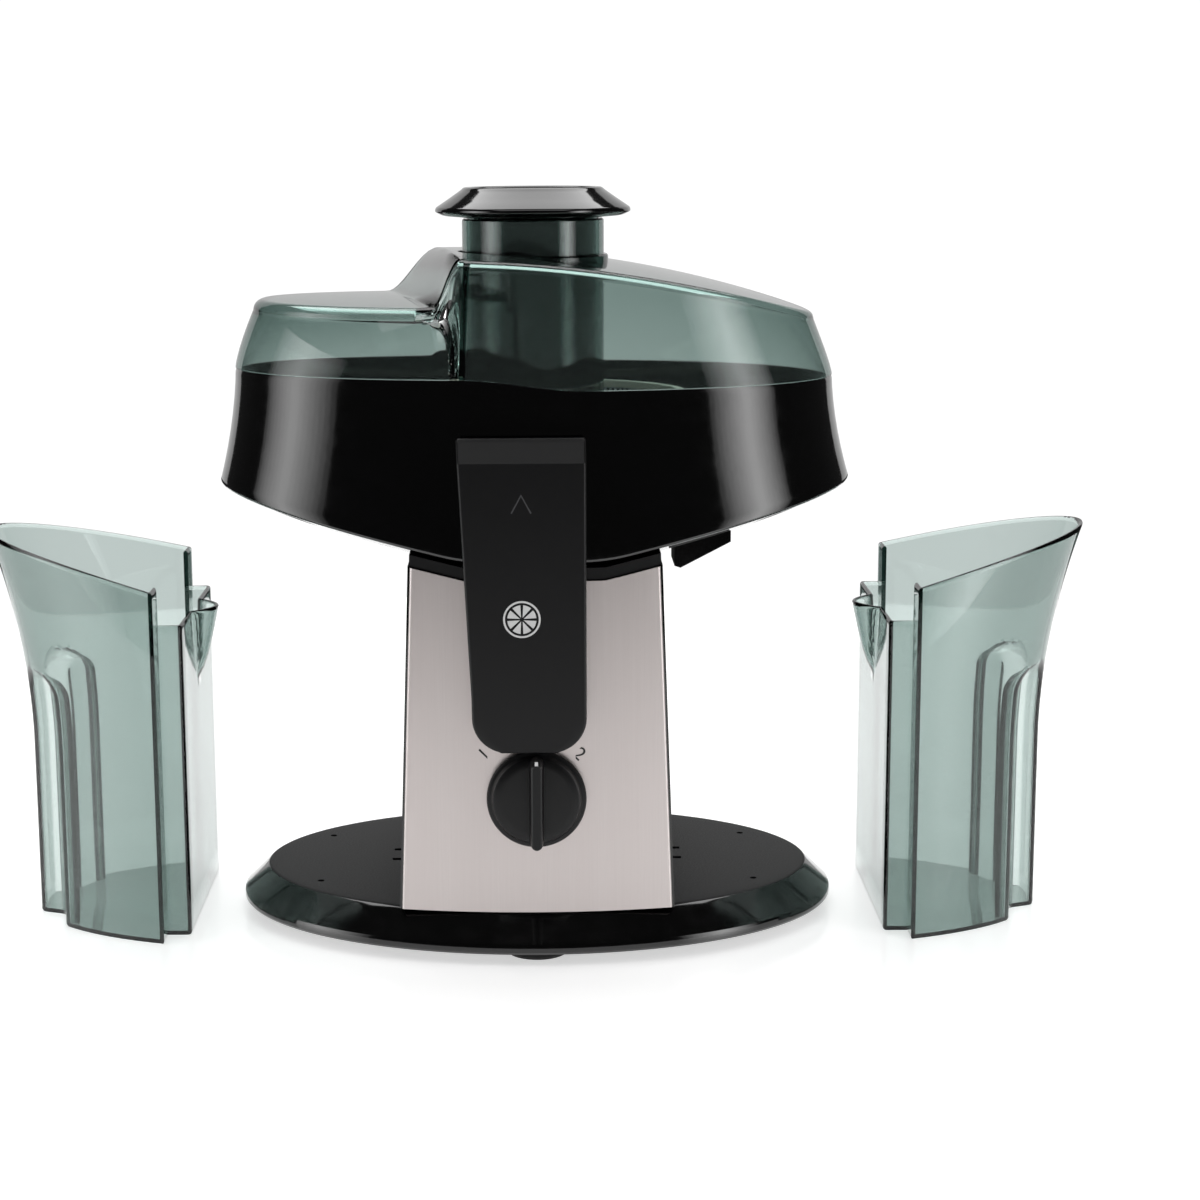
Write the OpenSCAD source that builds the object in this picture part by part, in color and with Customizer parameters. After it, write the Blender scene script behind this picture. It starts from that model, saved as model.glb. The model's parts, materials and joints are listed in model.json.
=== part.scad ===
// Centrifugal juicer with two docking containers.
// Millimetres, +Z up. The origin is on the table, under the drive shaft.
// The front, with the latch and the speed dial, faces -Y.

/* [Base] */
// Height of the rubber feet
foot_h = 6; // [4:0.5:12]
// Radius of each rubber foot
foot_r = 16; // [8:0.5:18]
// Height of the base plate over its feet
plate_h = 18; // [16:0.5:26]
// Half length of the plate's flat top
top_a = 142; // [136:1:175]
// Half depth of the plate's flat top
top_b = 96; // [90:1:120]
// How far the sloping rim runs out past the flat top
rim_out = 14; // [8:0.5:20]
// Wall of the plate and of its cover
plate_wall = 3; // [2:0.5:4]

/* [Column] */
// Half width of the column's front at the plate
column_w = 68.5; // [62:0.5:78]
// Half width of the column's front at its top
column_top_w = 62; // [56:0.5:66]
// Half depth of the column at its middle
column_d = 97; // [92:0.5:104]
// Half width of the waist that the containers close round
waist_w = 54; // [51:0.5:57]
// Radius of the curve of the front and back in plan
front_radius = 334; // [250:1:600]
// Wall of the column's shell
shell_wall = 2.5; // [1.5:0.1:3.5]
// Thickness of the steel front panel
panel_t = 0.8; // [0.5:0.1:1.5]

/* [Bowl] */
// Half length of the bowl at its rim
bowl_a = 153; // [145:1:165]
// Half depth of the bowl at its rim
bowl_b = 94; // [91:0.5:105]
// How far the bowl swells out at its lower edge, sideways
bowl_swell = 9; // [4:0.5:12]
// Height from the table to the flat middle of the bowl's underside
bowl_z = 197; // [190:1:215]
// Height of the bowl at its middle, up to the lid
bowl_h = 85; // [78:1:100]
// Rise of the underside for each millimetre outwards
wing_slope = 0.23; // [0.15:0.01:0.28]
// Wall of the bowl
bowl_wall = 2.8; // [2:0.1:4]
// Inner radius of the juice ring inside the bowl
ring_r = 83; // [82:0.5:86]

/* [Lid] */
// Height of the lid's left lobe over the lid's joint
lobe_h = 40; // [34:0.5:50]
// Height of the hood over the lid's joint, at its peak
hood_h = 63; // [56:0.5:75]
// How far the lid's walls lean in
lid_lean = 13; // [8:0.5:18]
// Wall of the lid
lid_wall = 2.5; // [2:0.1:3.5]
// Radius of the feed chute's bore
chute_r = 33; // [28:0.5:36]
// Wall of the feed chute
chute_wall = 3.2; // [2:0.1:4]
// Height that the chute stands over the hood's peak
chute_over = 16.5; // [10:0.5:30]

/* [Pusher] */
// Gap between pusher and chute
pusher_gap = 0.6; // [0.3:0.1:1.5]
// Radius of the pusher's flange
flange_r = 50; // [42:0.5:60]
// Height of the pusher's flange
flange_h = 15.5; // [10:0.5:20]
// Wall of the pusher
pusher_wall = 2; // [1.5:0.1:3]

/* [Latch and dial] */
// Width of the latch at its top
latch_w = 62; // [54:0.5:66]
// Height of the latch
latch_h = 152; // [140:1:156]
// Depth of the latch
latch_d = 12; // [10:0.5:14]
// Radius of the dial
dial_r = 24.5; // [18:0.5:24.5]
// Height of the dial's axis over the table
dial_z = 83; // [76:0.5:84]
// Depth of the grip bar, from the dial's skirt
grip_d = 14; // [10:0.5:18]

/* [Drive] */
// Radius of the motor's laminations
stator_r = 42; // [40:0.5:46]
// Height of the motor's laminations
stator_h = 32; // [24:1:40]
// Radius of the motor shaft
shaft_r = 4; // [3:0.25:5]
// Radius of the armature
armature_r = 22.5; // [18:0.5:24]
// Radius of the filter basket at its floor
basket_r = 57; // [50:0.5:62]
// Radius of the filter basket at its rim
basket_top_r = 75; // [68:0.5:77]
// Height of the filter basket
basket_h = 46; // [36:1:50]

/* [Containers] */
// Wall of the containers
can_wall = 2.2; // [1.6:0.1:3]
// Half depth of a container at its flanges
flange_y = 72; // [66:0.5:80]
// Distance from the drive axis to the flanges when docked
flange_x = 69.5; // [66:0.5:72]
// Half depth of the box that reaches round the waist
nose_y = 57.5; // [50:0.5:58]
// Reach of that box past the flanges
nose_d = 12; // [8:0.5:13]
// Height of the flanges
can_h = 181; // [160:1:181]
// Height of the box's rim
nose_h = 162; // [140:1:170]
// Half length of the docked outline at its foot
can_a = 145; // [140:1:150]
// How far the outer wall flares out at the rim
can_flare = 21; // [0:1:24]
// Depth of the finger grooves
groove_d = 10; // [4:0.5:12]
// Distance that each container stands away from its docked place
pull_out = 121; // [110:1:160]

/* [Hidden] */

// Clearances
gap = 0.3;
running = 0.05;

// Heights of the base
plate_top = foot_h + plate_h;
plate_nose = 5;
hole_x = 112;
hole_y = 42;
hole_r = 1.8;
slot_x = 73;
slot_y = [-4, 14];
vent_r = 20;
foot_x = top_a - foot_r - 8;
foot_y = top_b - foot_r + 5;
cover_screw_x = 88;
cover_screw_y = 52;
column_screw_x = 40;
column_screw_y = 78;
boss_r = 5;
screw_r = 1.6;
head_r = 3.2;
head_h = 2;

// Bowl, in plan an oval whose outline is a superellipse
oval_power = 2.25;
oval_steps = 64;
side_swell = 5;
wing_flat = 34;
rim_z = bowl_z + bowl_h;
step_h = 5.5;
step_from = 25;
step_to = -35;
hub_hole_r = 14;
floor_t = 3;

// Column
seat_t = 6;
column_floor = 3;
panel_y = column_d + panel_t;
notch_y = nose_y + 2.5;
louvres = 6;
louvre_w = 60;
louvre_z = plate_top + 60;
louvre_pitch = 10;
latch_y = panel_y + 3.5;
latch_x = -6.5;
latch_top = rim_z - 21;
latch_bottom = latch_top - latch_h;
latch_wall = 2.5;
latch_lip = 11;
latch_cap = 14;
latch_corner = 17;
latch_taper = 6.5;
keeper_w = 24;
keeper_z = latch_top - 16;
keeper_h = 5;
keeper_out = 5;
hook_bite = 2;
hook_t = 4;
pivot_y = -latch_y - 5.5;
pivot_z = latch_bottom + 8.5;
pivot_r = 2;
ear_wall = 1.5;
lug_t = 3;
heel = 3;
ear_x = 11;
ear_t = 4;
window_w = 2 * ear_x + ear_t + 1;
window_h = 12;

latch_pin_w = 2 * (ear_x + ear_t / 2 + gap + lug_t);
plunger_r = 2.5;
plunger_z = pivot_z + 40;

// Dial, its switch and the cable gland
bush_r = 5;
spindle_r = 3;
dial_back = panel_y + 1.2;
dial_skirt = 6;
grip_w = 6.5;
switch_d = 22;
switch_w = 30;
set_back = 0.5;
switch_y = -column_d + shell_wall + set_back;
bracket_y = -column_d + shell_wall + 2.7;
spindle_back = switch_y + switch_d - 5;
gland_r = 7;
gland_z = plate_top + 16;
gland_tip = dial_back + dial_skirt + grip_d;
cord_r = 3.5;

// Drive heights
damper_h = 8;
damper_r = 8;
damper_at = stator_r - damper_r;
brush_w = 6;
brush_l = 10;
motor_z = plate_top + 34;
bracket_t = 8;
bearing_r = 11;
bearing_h = 7;
stator_z = motor_z + bracket_t + 20;
upper_z = stator_z + stator_h + 20;
fan_z = upper_z + bracket_t + 5;
fan_h = 12;
fan_r = 38;
motor_bolt_r = 2;
motor_bolt_at = stator_r - 5;
commutator_r = 11;
brush_z = motor_z + bracket_t + 8;
coupling_r = 11;
coupling_z = bowl_z + 1;
coupling_h = 18;
hub_z = coupling_z + 10;
basket_z = coupling_z + coupling_h + 7;
basket_wall = 0.9;
basket_top = basket_z + basket_h;
grater_t = 1;
ring_top = basket_top - 6;

// Openings in the bowl
pulp_x = 118;
spout_x = 83.5;
spout_y = -45;
spout_w = 28;
spout_d = 30;
spout_wall = 2;
spout_drop = 17;

// Lid and chute
lid_gap = 0.2;
chute_out = chute_r + chute_wall;
chute_bottom = basket_z + 12;
peak_x = -45;
flank_x = -76;
roof_curve = 0.0009;
roof_drop = 0.35;
collar_out = 2.2;
collar_h = 6;
chute_top = rim_z + hood_h + chute_over;
collar_top = rim_z + hood_h - 1.5;

// Pusher
pusher_r = chute_r - pusher_gap;
pusher_bottom = chute_bottom + 8;
pusher_top = chute_top + gap + flange_h;

// Containers
flare_from = 90;
rim_slope = 0.267;
groove_in = 15;
groove_out = 42;
groove_top = 134;
rim_far = can_h + rim_slope * (can_a + can_flare - flange_x);
can_steps = 60;
beak_y = 19;
beak_out = 11.5;
beak_h = 33;

// ---------- shared shapes ----------

function smooth(t) = let (u = min(1, max(0, t))) u * u * (3 - 2 * u);
function sgn_pow(v, p) = sign(v) * pow(abs(v), p);
function mix(a, b, t) = a + (b - a) * t;

// A closed solid through a stack of rings. The first and last rings are closed by fans.
module skin(rings) {
    n = len(rings[0]);
    m = len(rings);
    function middle(ring) = [for (k = [0:2]) (min([for (p = ring) p[k]]) + max([for (p = ring) p[k]])) / 2];
    function mean_z(ring) = (ring[0][2] + ring[floor(n / 2)][2]) / 2;
    points = concat(
        [for (ring = rings) for (p = ring) p],
        [[middle(rings[0])[0], middle(rings[0])[1], mean_z(rings[0])]],
        [[middle(rings[m - 1])[0], middle(rings[m - 1])[1], mean_z(rings[m - 1])]]
    );
    sides = [
        for (i = [0:m - 2]) for (j = [0:n - 1])
            let (k = (j + 1) % n, a = i * n, b = (i + 1) * n)
            each [[a + j, b + j, a + k], [a + k, b + j, b + k]]
    ];
    bottom = [for (j = [0:n - 1]) [j, (j + 1) % n, m * n]];
    top = [for (j = [0:n - 1]) [(m - 1) * n + (j + 1) % n, (m - 1) * n + j, m * n + 1]];
    polyhedron(points = points, faces = concat(sides, bottom, top), convexity = 8);
}

function ellipse(a, b, n = 72) = [for (i = [0:n - 1]) [a * cos(360 * i / n), b * sin(360 * i / n)]];

function oval(a, b) = [
    for (i = [0:oval_steps - 1])
        let (t = 360 * i / oval_steps)
        [a * sgn_pow(cos(t), 2 / oval_power), b * sgn_pow(sin(t), 2 / oval_power)]
];

module tube(r_out, r_in, h) {
    difference() {
        cylinder(r = r_out, h = h, $fn = 64);
        translate([0, 0, -1]) cylinder(r = r_in, h = h + 2, $fn = 64);
    }
}

// Copies of a screw or foot, at both signs of x and y
module four(x, y) {
    for (sx = [-1, 1]) {
        for (sy = [-1, 1]) {
            translate([sx * x, sy * y, 0]) children();
        }
    }
}

module screw(length) {
    cylinder(r = head_r, h = head_h, $fn = 24);
    cylinder(r = screw_r, h = length, $fn = 24);
}

// ---------- base ----------

module plate_body() {
    rim_a = top_a + rim_out;
    rim_b = top_b + rim_out + 2;
    skin([
        [for (p = ellipse(rim_a - 2, rim_b - 2)) [p[0], p[1], foot_h]],
        [for (p = ellipse(rim_a, rim_b)) [p[0], p[1], foot_h + 1.5]],
        [for (p = ellipse(rim_a, rim_b)) [p[0], p[1], foot_h + plate_nose]],
        [for (p = ellipse(rim_a - 2, rim_b - 2)) [p[0], p[1], foot_h + plate_nose + 2]],
        [for (p = ellipse(top_a + 1, top_b + 1)) [p[0], p[1], plate_top - 0.8]],
        [for (p = ellipse(top_a, top_b)) [p[0], p[1], plate_top]]
    ]);
}

// Slots that locate the containers' feet, two on each side
module locating_slots() {
    for (side = [-1, 1]) {
        for (y = slot_y) {
            translate([side * slot_x, y, plate_top]) cube([8, 4, 3], center = true);
        }
    }
}

module base_plate() color("#2b2b2d") {
    difference() {
        plate_body();
        translate([0, 0, foot_h - 1])
            linear_extrude(plate_h - plate_wall + 1) polygon(ellipse(top_a - 3, top_b - 3));
        locating_slots();
        four(hole_x, hole_y)
            translate([0, 0, plate_top - plate_wall - 1]) cylinder(r = hole_r, h = 9, $fn = 24);
        four(column_screw_x, column_screw_y)
            translate([0, 0, plate_top - plate_wall - 1]) cylinder(r = screw_r + gap, h = 9, $fn = 24);
        translate([0, 0, plate_top - plate_wall - 1]) cylinder(r = vent_r, h = 9, $fn = 48);
    }
    four(cover_screw_x, cover_screw_y) {
        translate([0, 0, foot_h + plate_wall])
            tube(boss_r, screw_r, plate_h - 2 * plate_wall + 1);
    }
}

module bottom_cover() color("#242426") {
    difference() {
        translate([0, 0, foot_h])
            linear_extrude(plate_wall) polygon(ellipse(top_a - 3 - gap, top_b - 3 - gap));
        four(cover_screw_x, cover_screw_y) {
            translate([0, 0, foot_h - 1]) cylinder(r = screw_r + gap, h = plate_wall + 2, $fn = 24);
            translate([0, 0, foot_h - 1]) cylinder(r = head_r + gap, h = head_h + 1, $fn = 24);
        }
        for (i = [-3:3]) {
            translate([i * 9, 0, foot_h]) cube([4, 50, 4 * plate_wall], center = true);
        }
    }
}

module rubber_feet() color("#111111") {
    for (at = [[foot_x, 0], [-foot_x, 0], [0, foot_y], [0, -foot_y]]) {
        translate([at[0], at[1], 0]) cylinder(r1 = foot_r - 1, r2 = foot_r, h = 1.5, $fn = 48);
        translate([at[0], at[1], 1.5]) cylinder(r = foot_r, h = foot_h - 1.5, $fn = 48);
    }
}

module cover_screws() color("silver") {
    four(cover_screw_x, cover_screw_y) translate([0, 0, foot_h]) screw(plate_h - plate_wall - 2);
}

module column_screws() color("silver") {
    four(column_screw_x, column_screw_y) translate([0, 0, plate_top - plate_wall - head_h]) screw(16);
}

// ---------- column ----------

// Depth of the front's curve at x, for an outline whose middle is at depth d
function front_y(x, d) = d - (front_radius - sqrt(pow(front_radius, 2) - x * x));

// Outline of the column: curved front and back, and a waist on each side
function column_outline(inset) =
    let (
        w = column_w - inset, d = column_d - inset, waist = waist_w - inset,
        notch = notch_y + inset, steps = 12,
        front = [for (i = [0:steps]) let (x = mix(-w, w, i / steps)) [x, -front_y(x, d)]],
        back = [for (i = [0:steps]) let (x = mix(w, -w, i / steps)) [x, front_y(x, d)]]
    )
    concat(front, [[w, -notch], [waist, -notch], [waist, notch], [w, notch]],
        back, [[-w, notch], [-waist, notch], [-waist, -notch], [-w, -notch]]);

// Height of the bowl's underside at x
function wing_z(x) = bowl_z + wing_slope * max(0, abs(x) - wing_flat);

// The column's face seen from the front, tapering up and ending in the wings' slope
module column_face(inset, drop) {
    w = column_w - inset;
    wt = column_top_w - inset;
    rotate([90, 0, 0])
        linear_extrude(4 * column_d, center = true)
            polygon([
                [-w, plate_top], [w, plate_top], [wt, wing_z(wt) - drop],
                [wing_flat, bowl_z - drop], [-wing_flat, bowl_z - drop], [-wt, wing_z(wt) - drop]
            ]);
}

module column_solid(inset, drop) {
    intersection() {
        linear_extrude(2 * bowl_z) polygon(column_outline(inset));
        column_face(inset, drop);
    }
}

// The whole housing: four walls, a floor and bosses for the screws
module column_walls() {
    difference() {
        column_solid(0, seat_t);
        difference() {
            translate([0, 0, column_floor]) column_solid(shell_wall, seat_t - 2);
            four(column_screw_x, column_screw_y)
                translate([0, 0, plate_top - 1]) cylinder(r = boss_r, h = 15, $fn = 32);
        }
        translate([0, 0, plate_top - 1]) cylinder(r = stator_r + 4, h = column_floor + 2, $fn = 72);
        four(column_screw_x, column_screw_y)
            translate([0, 0, plate_top - 1]) cylinder(r = screw_r, h = 14, $fn = 24);
        front_holes(0);
        translate([0, column_d + 5, gland_z]) rotate([90, 0, 0]) cylinder(r = gland_r, h = 20, $fn = 48);
        for (i = [0:louvres - 1]) {
            translate([0, column_d, louvre_z + i * louvre_pitch]) cube([louvre_w, 20, 4], center = true);
        }
    }
}

// The part of the housing in front of or behind the waist
module housing_end(y_from) {
    intersection() {
        column_walls();
        translate([-panel_y, y_from, 0]) cube([2 * panel_y, panel_y, 2 * bowl_z]);
    }
}

module front_housing() color("#161617") housing_end(-notch_y - panel_y);

module rear_housing() color("#161617") housing_end(notch_y);

// A side wall of the waist with its half of the floor, each from its own left edge
module waist_side(wall_x, floor_x) {
    intersection() {
        difference() {
            union() {
                translate([wall_x, -notch_y, plate_top]) cube([shell_wall, 2 * notch_y, bowl_z]);
                translate([floor_x, -notch_y, plate_top]) cube([waist_w, 2 * notch_y, column_floor]);
            }
            translate([0, 0, plate_top - 1])
                cylinder(r = stator_r + 4, h = column_floor + 2, $fn = 72);
        }
        column_face(0, seat_t);
    }
}

module left_waist() color("#161617") waist_side(-waist_w, -waist_w);

module right_waist() color("#161617") waist_side(waist_w - shell_wall, 0);

// Openings through the front wall and its panel
module front_holes(extra) {
    translate([0, -column_d + 6, dial_z]) rotate([90, 0, 0])
        cylinder(r = bush_r + extra, h = 14, $fn = 48);
    translate([latch_x, -column_d, pivot_z])
        cube([window_w + extra, 14, window_h + extra], center = true);
    translate([latch_x, -column_d + 6, plunger_z]) rotate([90, 0, 0])
        cylinder(r = plunger_r + gap + extra, h = 14, $fn = 32);
}

module panel_outline(w, y_in, y_out) {
    steps = 24;
    polygon(concat(
        [for (i = [0:steps]) let (x = mix(-w, w, i / steps)) [x, -front_y(x, y_out)]],
        [for (i = [0:steps]) let (x = mix(w, -w, i / steps)) [x, -front_y(x, y_in)]]
    ));
}

module front_panel() color("#c9c2ba") {
    difference() {
        intersection() {
            linear_extrude(2 * bowl_z) panel_outline(column_w, column_d, panel_y);
            column_face(1, seat_t + 0.5);
        }
        front_holes(0.2);
    }
}

// The two speed marks beside the dial: a bar for speed one, two bars for speed two
module dial_marks() color("#202020") {
    for (side = [-1, 1]) {
        rotate_at = side * 45;
        translate([0, -panel_y + 1, dial_z])
            rotate([0, rotate_at, 0])
                for (k = [0:side == 1 ? 1 : 0]) {
                    translate([k * 3 - 1, -1.1, dial_r + 5]) cube([1.2, 0.6, 5], center = true);
                }
    }
}

module bowl_seat() color("#4a4a4c") {
    difference() {
        intersection() {
            linear_extrude(2 * bowl_z) polygon(column_outline(0.8));
            column_face(0.8, gap);
        }
        translate([0, 0, -seat_t]) column_solid(-2, 0);
        translate([0, 0, bowl_z - 2 * seat_t]) cylinder(r = hub_hole_r + 4, h = 4 * seat_t, $fn = 64);
    }
}

module shaft_seal() color("#181818") {
    translate([0, 0, bowl_z - seat_t]) tube(hub_hole_r + 4, shaft_r + 1, seat_t - gap);
}

// Cable gland at the back: a bushing through the wall, a hexagonal nut and a domed cap
module cord_gland() color("#151515") {
    inside = 6.5;
    translate([0, column_d - inside, gland_z]) rotate([-90, 0, 0]) {
        difference() {
            union() {
                cylinder(r = gland_r - 0.1, h = inside + 0.2, $fn = 48);
                translate([0, 0, 1]) cylinder(r = gland_r + 1.5, h = 2.8, $fn = 48);
                translate([0, 0, inside + 0.1]) cylinder(r = gland_r + 2.5, h = 2.4, $fn = 48);
                translate([0, 0, inside + 2.5]) cylinder(r = gland_r + 1.5, h = 7, $fn = 6);
                translate([0, 0, inside + 9.5])
                    cylinder(r1 = gland_r, r2 = gland_r - 1.5, h = gland_tip - column_d - 9.5, $fn = 48);
            }
            translate([0, 0, -1]) cylinder(r = cord_r, h = gland_tip, $fn = 48);
        }
    }
}

module terminal_block() color("ivory") {
    difference() {
        translate([0, 70, plate_top + column_floor + 5]) cube([26, 10, 10], center = true);
        for (i = [-1:1]) {
            translate([i * 8, 70, plate_top + column_floor + 3]) cylinder(r = 1.6, h = 10, $fn = 24);
        }
    }
}

module rotary_switch() color("#d8d0c0") {
    difference() {
        union() {
            translate([0, switch_y + switch_d / 2, dial_z])
                cube([switch_w, switch_d, switch_w], center = true);
            translate([0, switch_y + 1, dial_z]) rotate([90, 0, 0])
                cylinder(r = bush_r - 0.1, h = 1 + panel_y + switch_y + 0.8, $fn = 48);
        }
        translate([0, spindle_back + 1, dial_z]) rotate([90, 0, 0])
            cylinder(r = spindle_r + running, h = 60, $fn = 48);
    }
}

module switch_nut() color("silver") {
    translate([0, -panel_y, dial_z]) rotate([90, 0, 0])
        difference() {
            cylinder(r = 8, h = 0.7, $fn = 6);
            translate([0, 0, -1]) cylinder(r = bush_r - 0.1, h = 4, $fn = 48);
        }
}

module interlock_switch() color("#c43c2c") {
    translate([latch_x, switch_y + 13, plunger_z])
        difference() {
            cube([10, 26, 16], center = true);
            translate([0, -5, 0]) rotate([90, 0, 0]) cylinder(r = plunger_r + gap, h = 12, $fn = 32);
        }
}

// ---------- latch mounting ----------

module latch_bracket() color("#3a3a3c") {
    difference() {
        union() {
            for (side = [-1, 1]) {
                translate([latch_x + side * ear_x, 0, 0])
                    hull() {
                        translate([0, pivot_y, pivot_z]) rotate([0, 90, 0])
                            cylinder(r = pivot_r + ear_wall, h = ear_t, center = true, $fn = 32);
                        translate([0, bracket_y - 0.5, pivot_z]) cube([ear_t, 2, 9], center = true);
                    }
            }
            translate([latch_x, bracket_y, pivot_z]) cube([window_w + 12, 3, window_h + 8], center = true);
        }
        translate([latch_x, pivot_y, pivot_z]) rotate([0, 90, 0])
            cylinder(r = pivot_r, h = 2 * window_w, center = true, $fn = 48);
    }
}

module latch_pin() color("silver") {
    translate([latch_x, pivot_y, pivot_z]) rotate([0, 90, 0])
        cylinder(r = pivot_r, h = latch_pin_w, center = true, $fn = 48);
}

// A torsion spring between the ears, drawn as its coil's envelope with its two legs
module latch_spring() color("silver") {
    translate([latch_x, pivot_y, pivot_z]) rotate([0, 90, 0]) {
        difference() {
            cylinder(r = pivot_r + 1.1, h = 12, center = true, $fn = 48);
            cylinder(r = pivot_r + 0.1, h = 14, center = true, $fn = 48);
        }
    }
}

// ---------- motor ----------

module bracket_bolts(r, h) {
    for (i = [0:3]) {
        rotate([0, 0, 45 + 90 * i]) translate([motor_bolt_at, 0, 0]) cylinder(r = r, h = h, $fn = 32);
    }
}

module lower_bracket() color("#9aa0a4") {
    difference() {
        union() {
            translate([0, 0, motor_z]) cylinder(r = stator_r, h = bracket_t, $fn = 72);
            for (i = [0:3]) {
                rotate([0, 0, 90 * i]) translate([damper_at, 0, plate_top + damper_h])
                    cylinder(r = 6, h = motor_z - plate_top - damper_h, $fn = 32);
            }
            for (i = [0:3]) {
                rotate([0, 0, 45 + 90 * i]) translate([motor_bolt_at, 0, motor_z + 1])
                    cylinder(r = 4, h = stator_z - motor_z - 1, $fn = 32);
            }
        }
        translate([0, 0, motor_z + bracket_t - bearing_h]) cylinder(r = bearing_r, h = 20, $fn = 64);
        translate([0, 0, motor_z - 1]) cylinder(r = shaft_r + 2, h = 20, $fn = 64);
        translate([0, 0, motor_z - 40]) bracket_bolts(motor_bolt_r, 100);
    }
}

module upper_bracket() color("#9aa0a4") {
    difference() {
        union() {
            translate([0, 0, upper_z]) cylinder(r = 16, h = bracket_t, $fn = 64);
            for (i = [0:3]) {
                rotate([0, 0, 45 + 90 * i]) translate([motor_bolt_at / 2, 0, upper_z + bracket_t / 2])
                    cube([motor_bolt_at, 12, bracket_t], center = true);
                rotate([0, 0, 45 + 90 * i]) translate([motor_bolt_at, 0, upper_z])
                    cylinder(r = 6, h = bracket_t, $fn = 32);
                rotate([0, 0, 45 + 90 * i]) translate([motor_bolt_at, 0, stator_z + stator_h])
                    cylinder(r = 4, h = upper_z - stator_z - stator_h + 1, $fn = 32);
            }
        }
        translate([0, 0, upper_z - 1]) cylinder(r = bearing_r, h = bearing_h + 1, $fn = 64);
        translate([0, 0, upper_z - 1]) cylinder(r = shaft_r + 2, h = 20, $fn = 64);
        translate([0, 0, stator_z]) bracket_bolts(motor_bolt_r, 100);
    }
}

module rubber_dampers() color("#202020") {
    for (i = [0:3]) {
        rotate([0, 0, 90 * i]) translate([damper_at, 0, plate_top])
            cylinder(r = damper_r, h = damper_h, $fn = 32);
    }
}

module motor_screws() color("silver") {
    translate([0, 0, motor_z]) bracket_bolts(motor_bolt_r, upper_z + bracket_t - motor_z);
    translate([0, 0, upper_z + bracket_t]) bracket_bolts(motor_bolt_r + 1.6, 2.4);
}

module motor_stator() color("#8a8d90") {
    translate([0, 0, stator_z])
        difference() {
            cylinder(r = stator_r, h = stator_h, $fn = 96);
            translate([0, 0, -1]) cylinder(r = armature_r + 0.5, h = stator_h + 2, $fn = 96);
            translate([0, 0, -1]) bracket_bolts(motor_bolt_r, stator_h + 2);
        }
}

module field_coils() color("#b5652a") {
    coil_in = armature_r + 1.5;
    for (z = [stator_z - 8, stator_z + stator_h]) {
        translate([0, 0, z]) tube(motor_bolt_at - 5, coil_in, 8);
    }
}

module bearing(z) {
    translate([0, 0, z])
        tube(bearing_r, shaft_r + running / 2, bearing_h);
}

module lower_bearing() color("silver") bearing(motor_z + bracket_t - bearing_h);

module upper_bearing() color("silver") bearing(upper_z);

module brush_pair() {
    for (side = [0, 180]) {
        rotate([0, 0, side]) translate([commutator_r + 0.1, 0, brush_z]) children();
    }
}

module brush_holders() color("#5a4030") {
    difference() {
        brush_pair() translate([brush_l / 2 + 3, 0, -2])
            cube([brush_l + 2, brush_w + 4, brush_w + 6], center = true);
        brush_pair() translate([brush_l / 2 + 1, 0, 0])
            cube([brush_l + 4, brush_w + 0.2, brush_w + 0.2], center = true);
    }
}

module carbon_brushes() color("#303030") {
    brush_pair() translate([brush_l / 2 - 0.05, 0, 0]) cube([brush_l - 0.1, brush_w, brush_w], center = true);
}

module brush_springs() color("silver") {
    brush_pair() translate([brush_l - 0.1, 0, 0]) rotate([0, 90, 0]) cylinder(r = 2, h = 3, $fn = 24);
}

// ---------- bowl ----------

// Height of the joint between bowl and lid: a little higher over the left wing
function split_z(x) = rim_z + step_h * smooth((step_from - x) / (step_from - step_to));

// One ring of the bowl. t is 0 at the lower edge and 1 at the rim; inset is the wall.
function bowl_ring(t, inset) =
    let (
        swell = pow(1 - t, 1.6),
        a = bowl_a + bowl_swell * swell - inset,
        b = bowl_b + 5 * swell - inset
    )
    [for (p = oval(a, b)) [p[0], p[1], mix(wing_z(p[0]) + 4 + (inset > 0 ? floor_t : 0), split_z(p[0]), t)]];

// A ring of the bowl's underside or floor, s times the size of the lower edge
function floor_ring(s, inset, lift) =
    [for (p = oval((bowl_a + bowl_swell - inset) * s, (bowl_b + side_swell - inset) * s))
        [p[0], p[1], wing_z(p[0]) + lift]];

module bowl_shell() {
    edge = 2;
    skin([
        floor_ring(0.2, 0, 0),
        floor_ring(0.45, 0, 0),
        floor_ring(0.7, 0, 0),
        floor_ring(1 - edge / bowl_b, 0, 0),
        bowl_ring(0, 0),
        for (t = [0.25, 0.5, 0.75, 1]) bowl_ring(t, 0),
        for (t = [1, 0.6, 0.3, 0]) bowl_ring(t, bowl_wall),
        floor_ring(0.9, bowl_wall, floor_t),
        floor_ring(0.7, bowl_wall, floor_t),
        floor_ring(0.45, bowl_wall, floor_t),
        floor_ring(0.2, bowl_wall, floor_t)
    ]);
}

module bowl() color("#0c0c0d") {
    difference() {
        union() {
            bowl_shell();
            intersection() {
                translate([0, 0, bowl_z + 1]) tube(ring_r + bowl_wall, ring_r, ring_top - bowl_z - 1);
                bowl_core();
            }
            translate([0, 0, bowl_z + floor_t - 1]) tube(hub_hole_r + 2.4, hub_hole_r, 12);
            keeper();
        }
        translate([0, 0, bowl_z - 10]) cylinder(r = hub_hole_r, h = 30, $fn = 64);
        translate([-pulp_x, 0, bowl_z + 20]) cube([36, 76, 60], center = true);
        spout_bore();
    }
}

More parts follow.
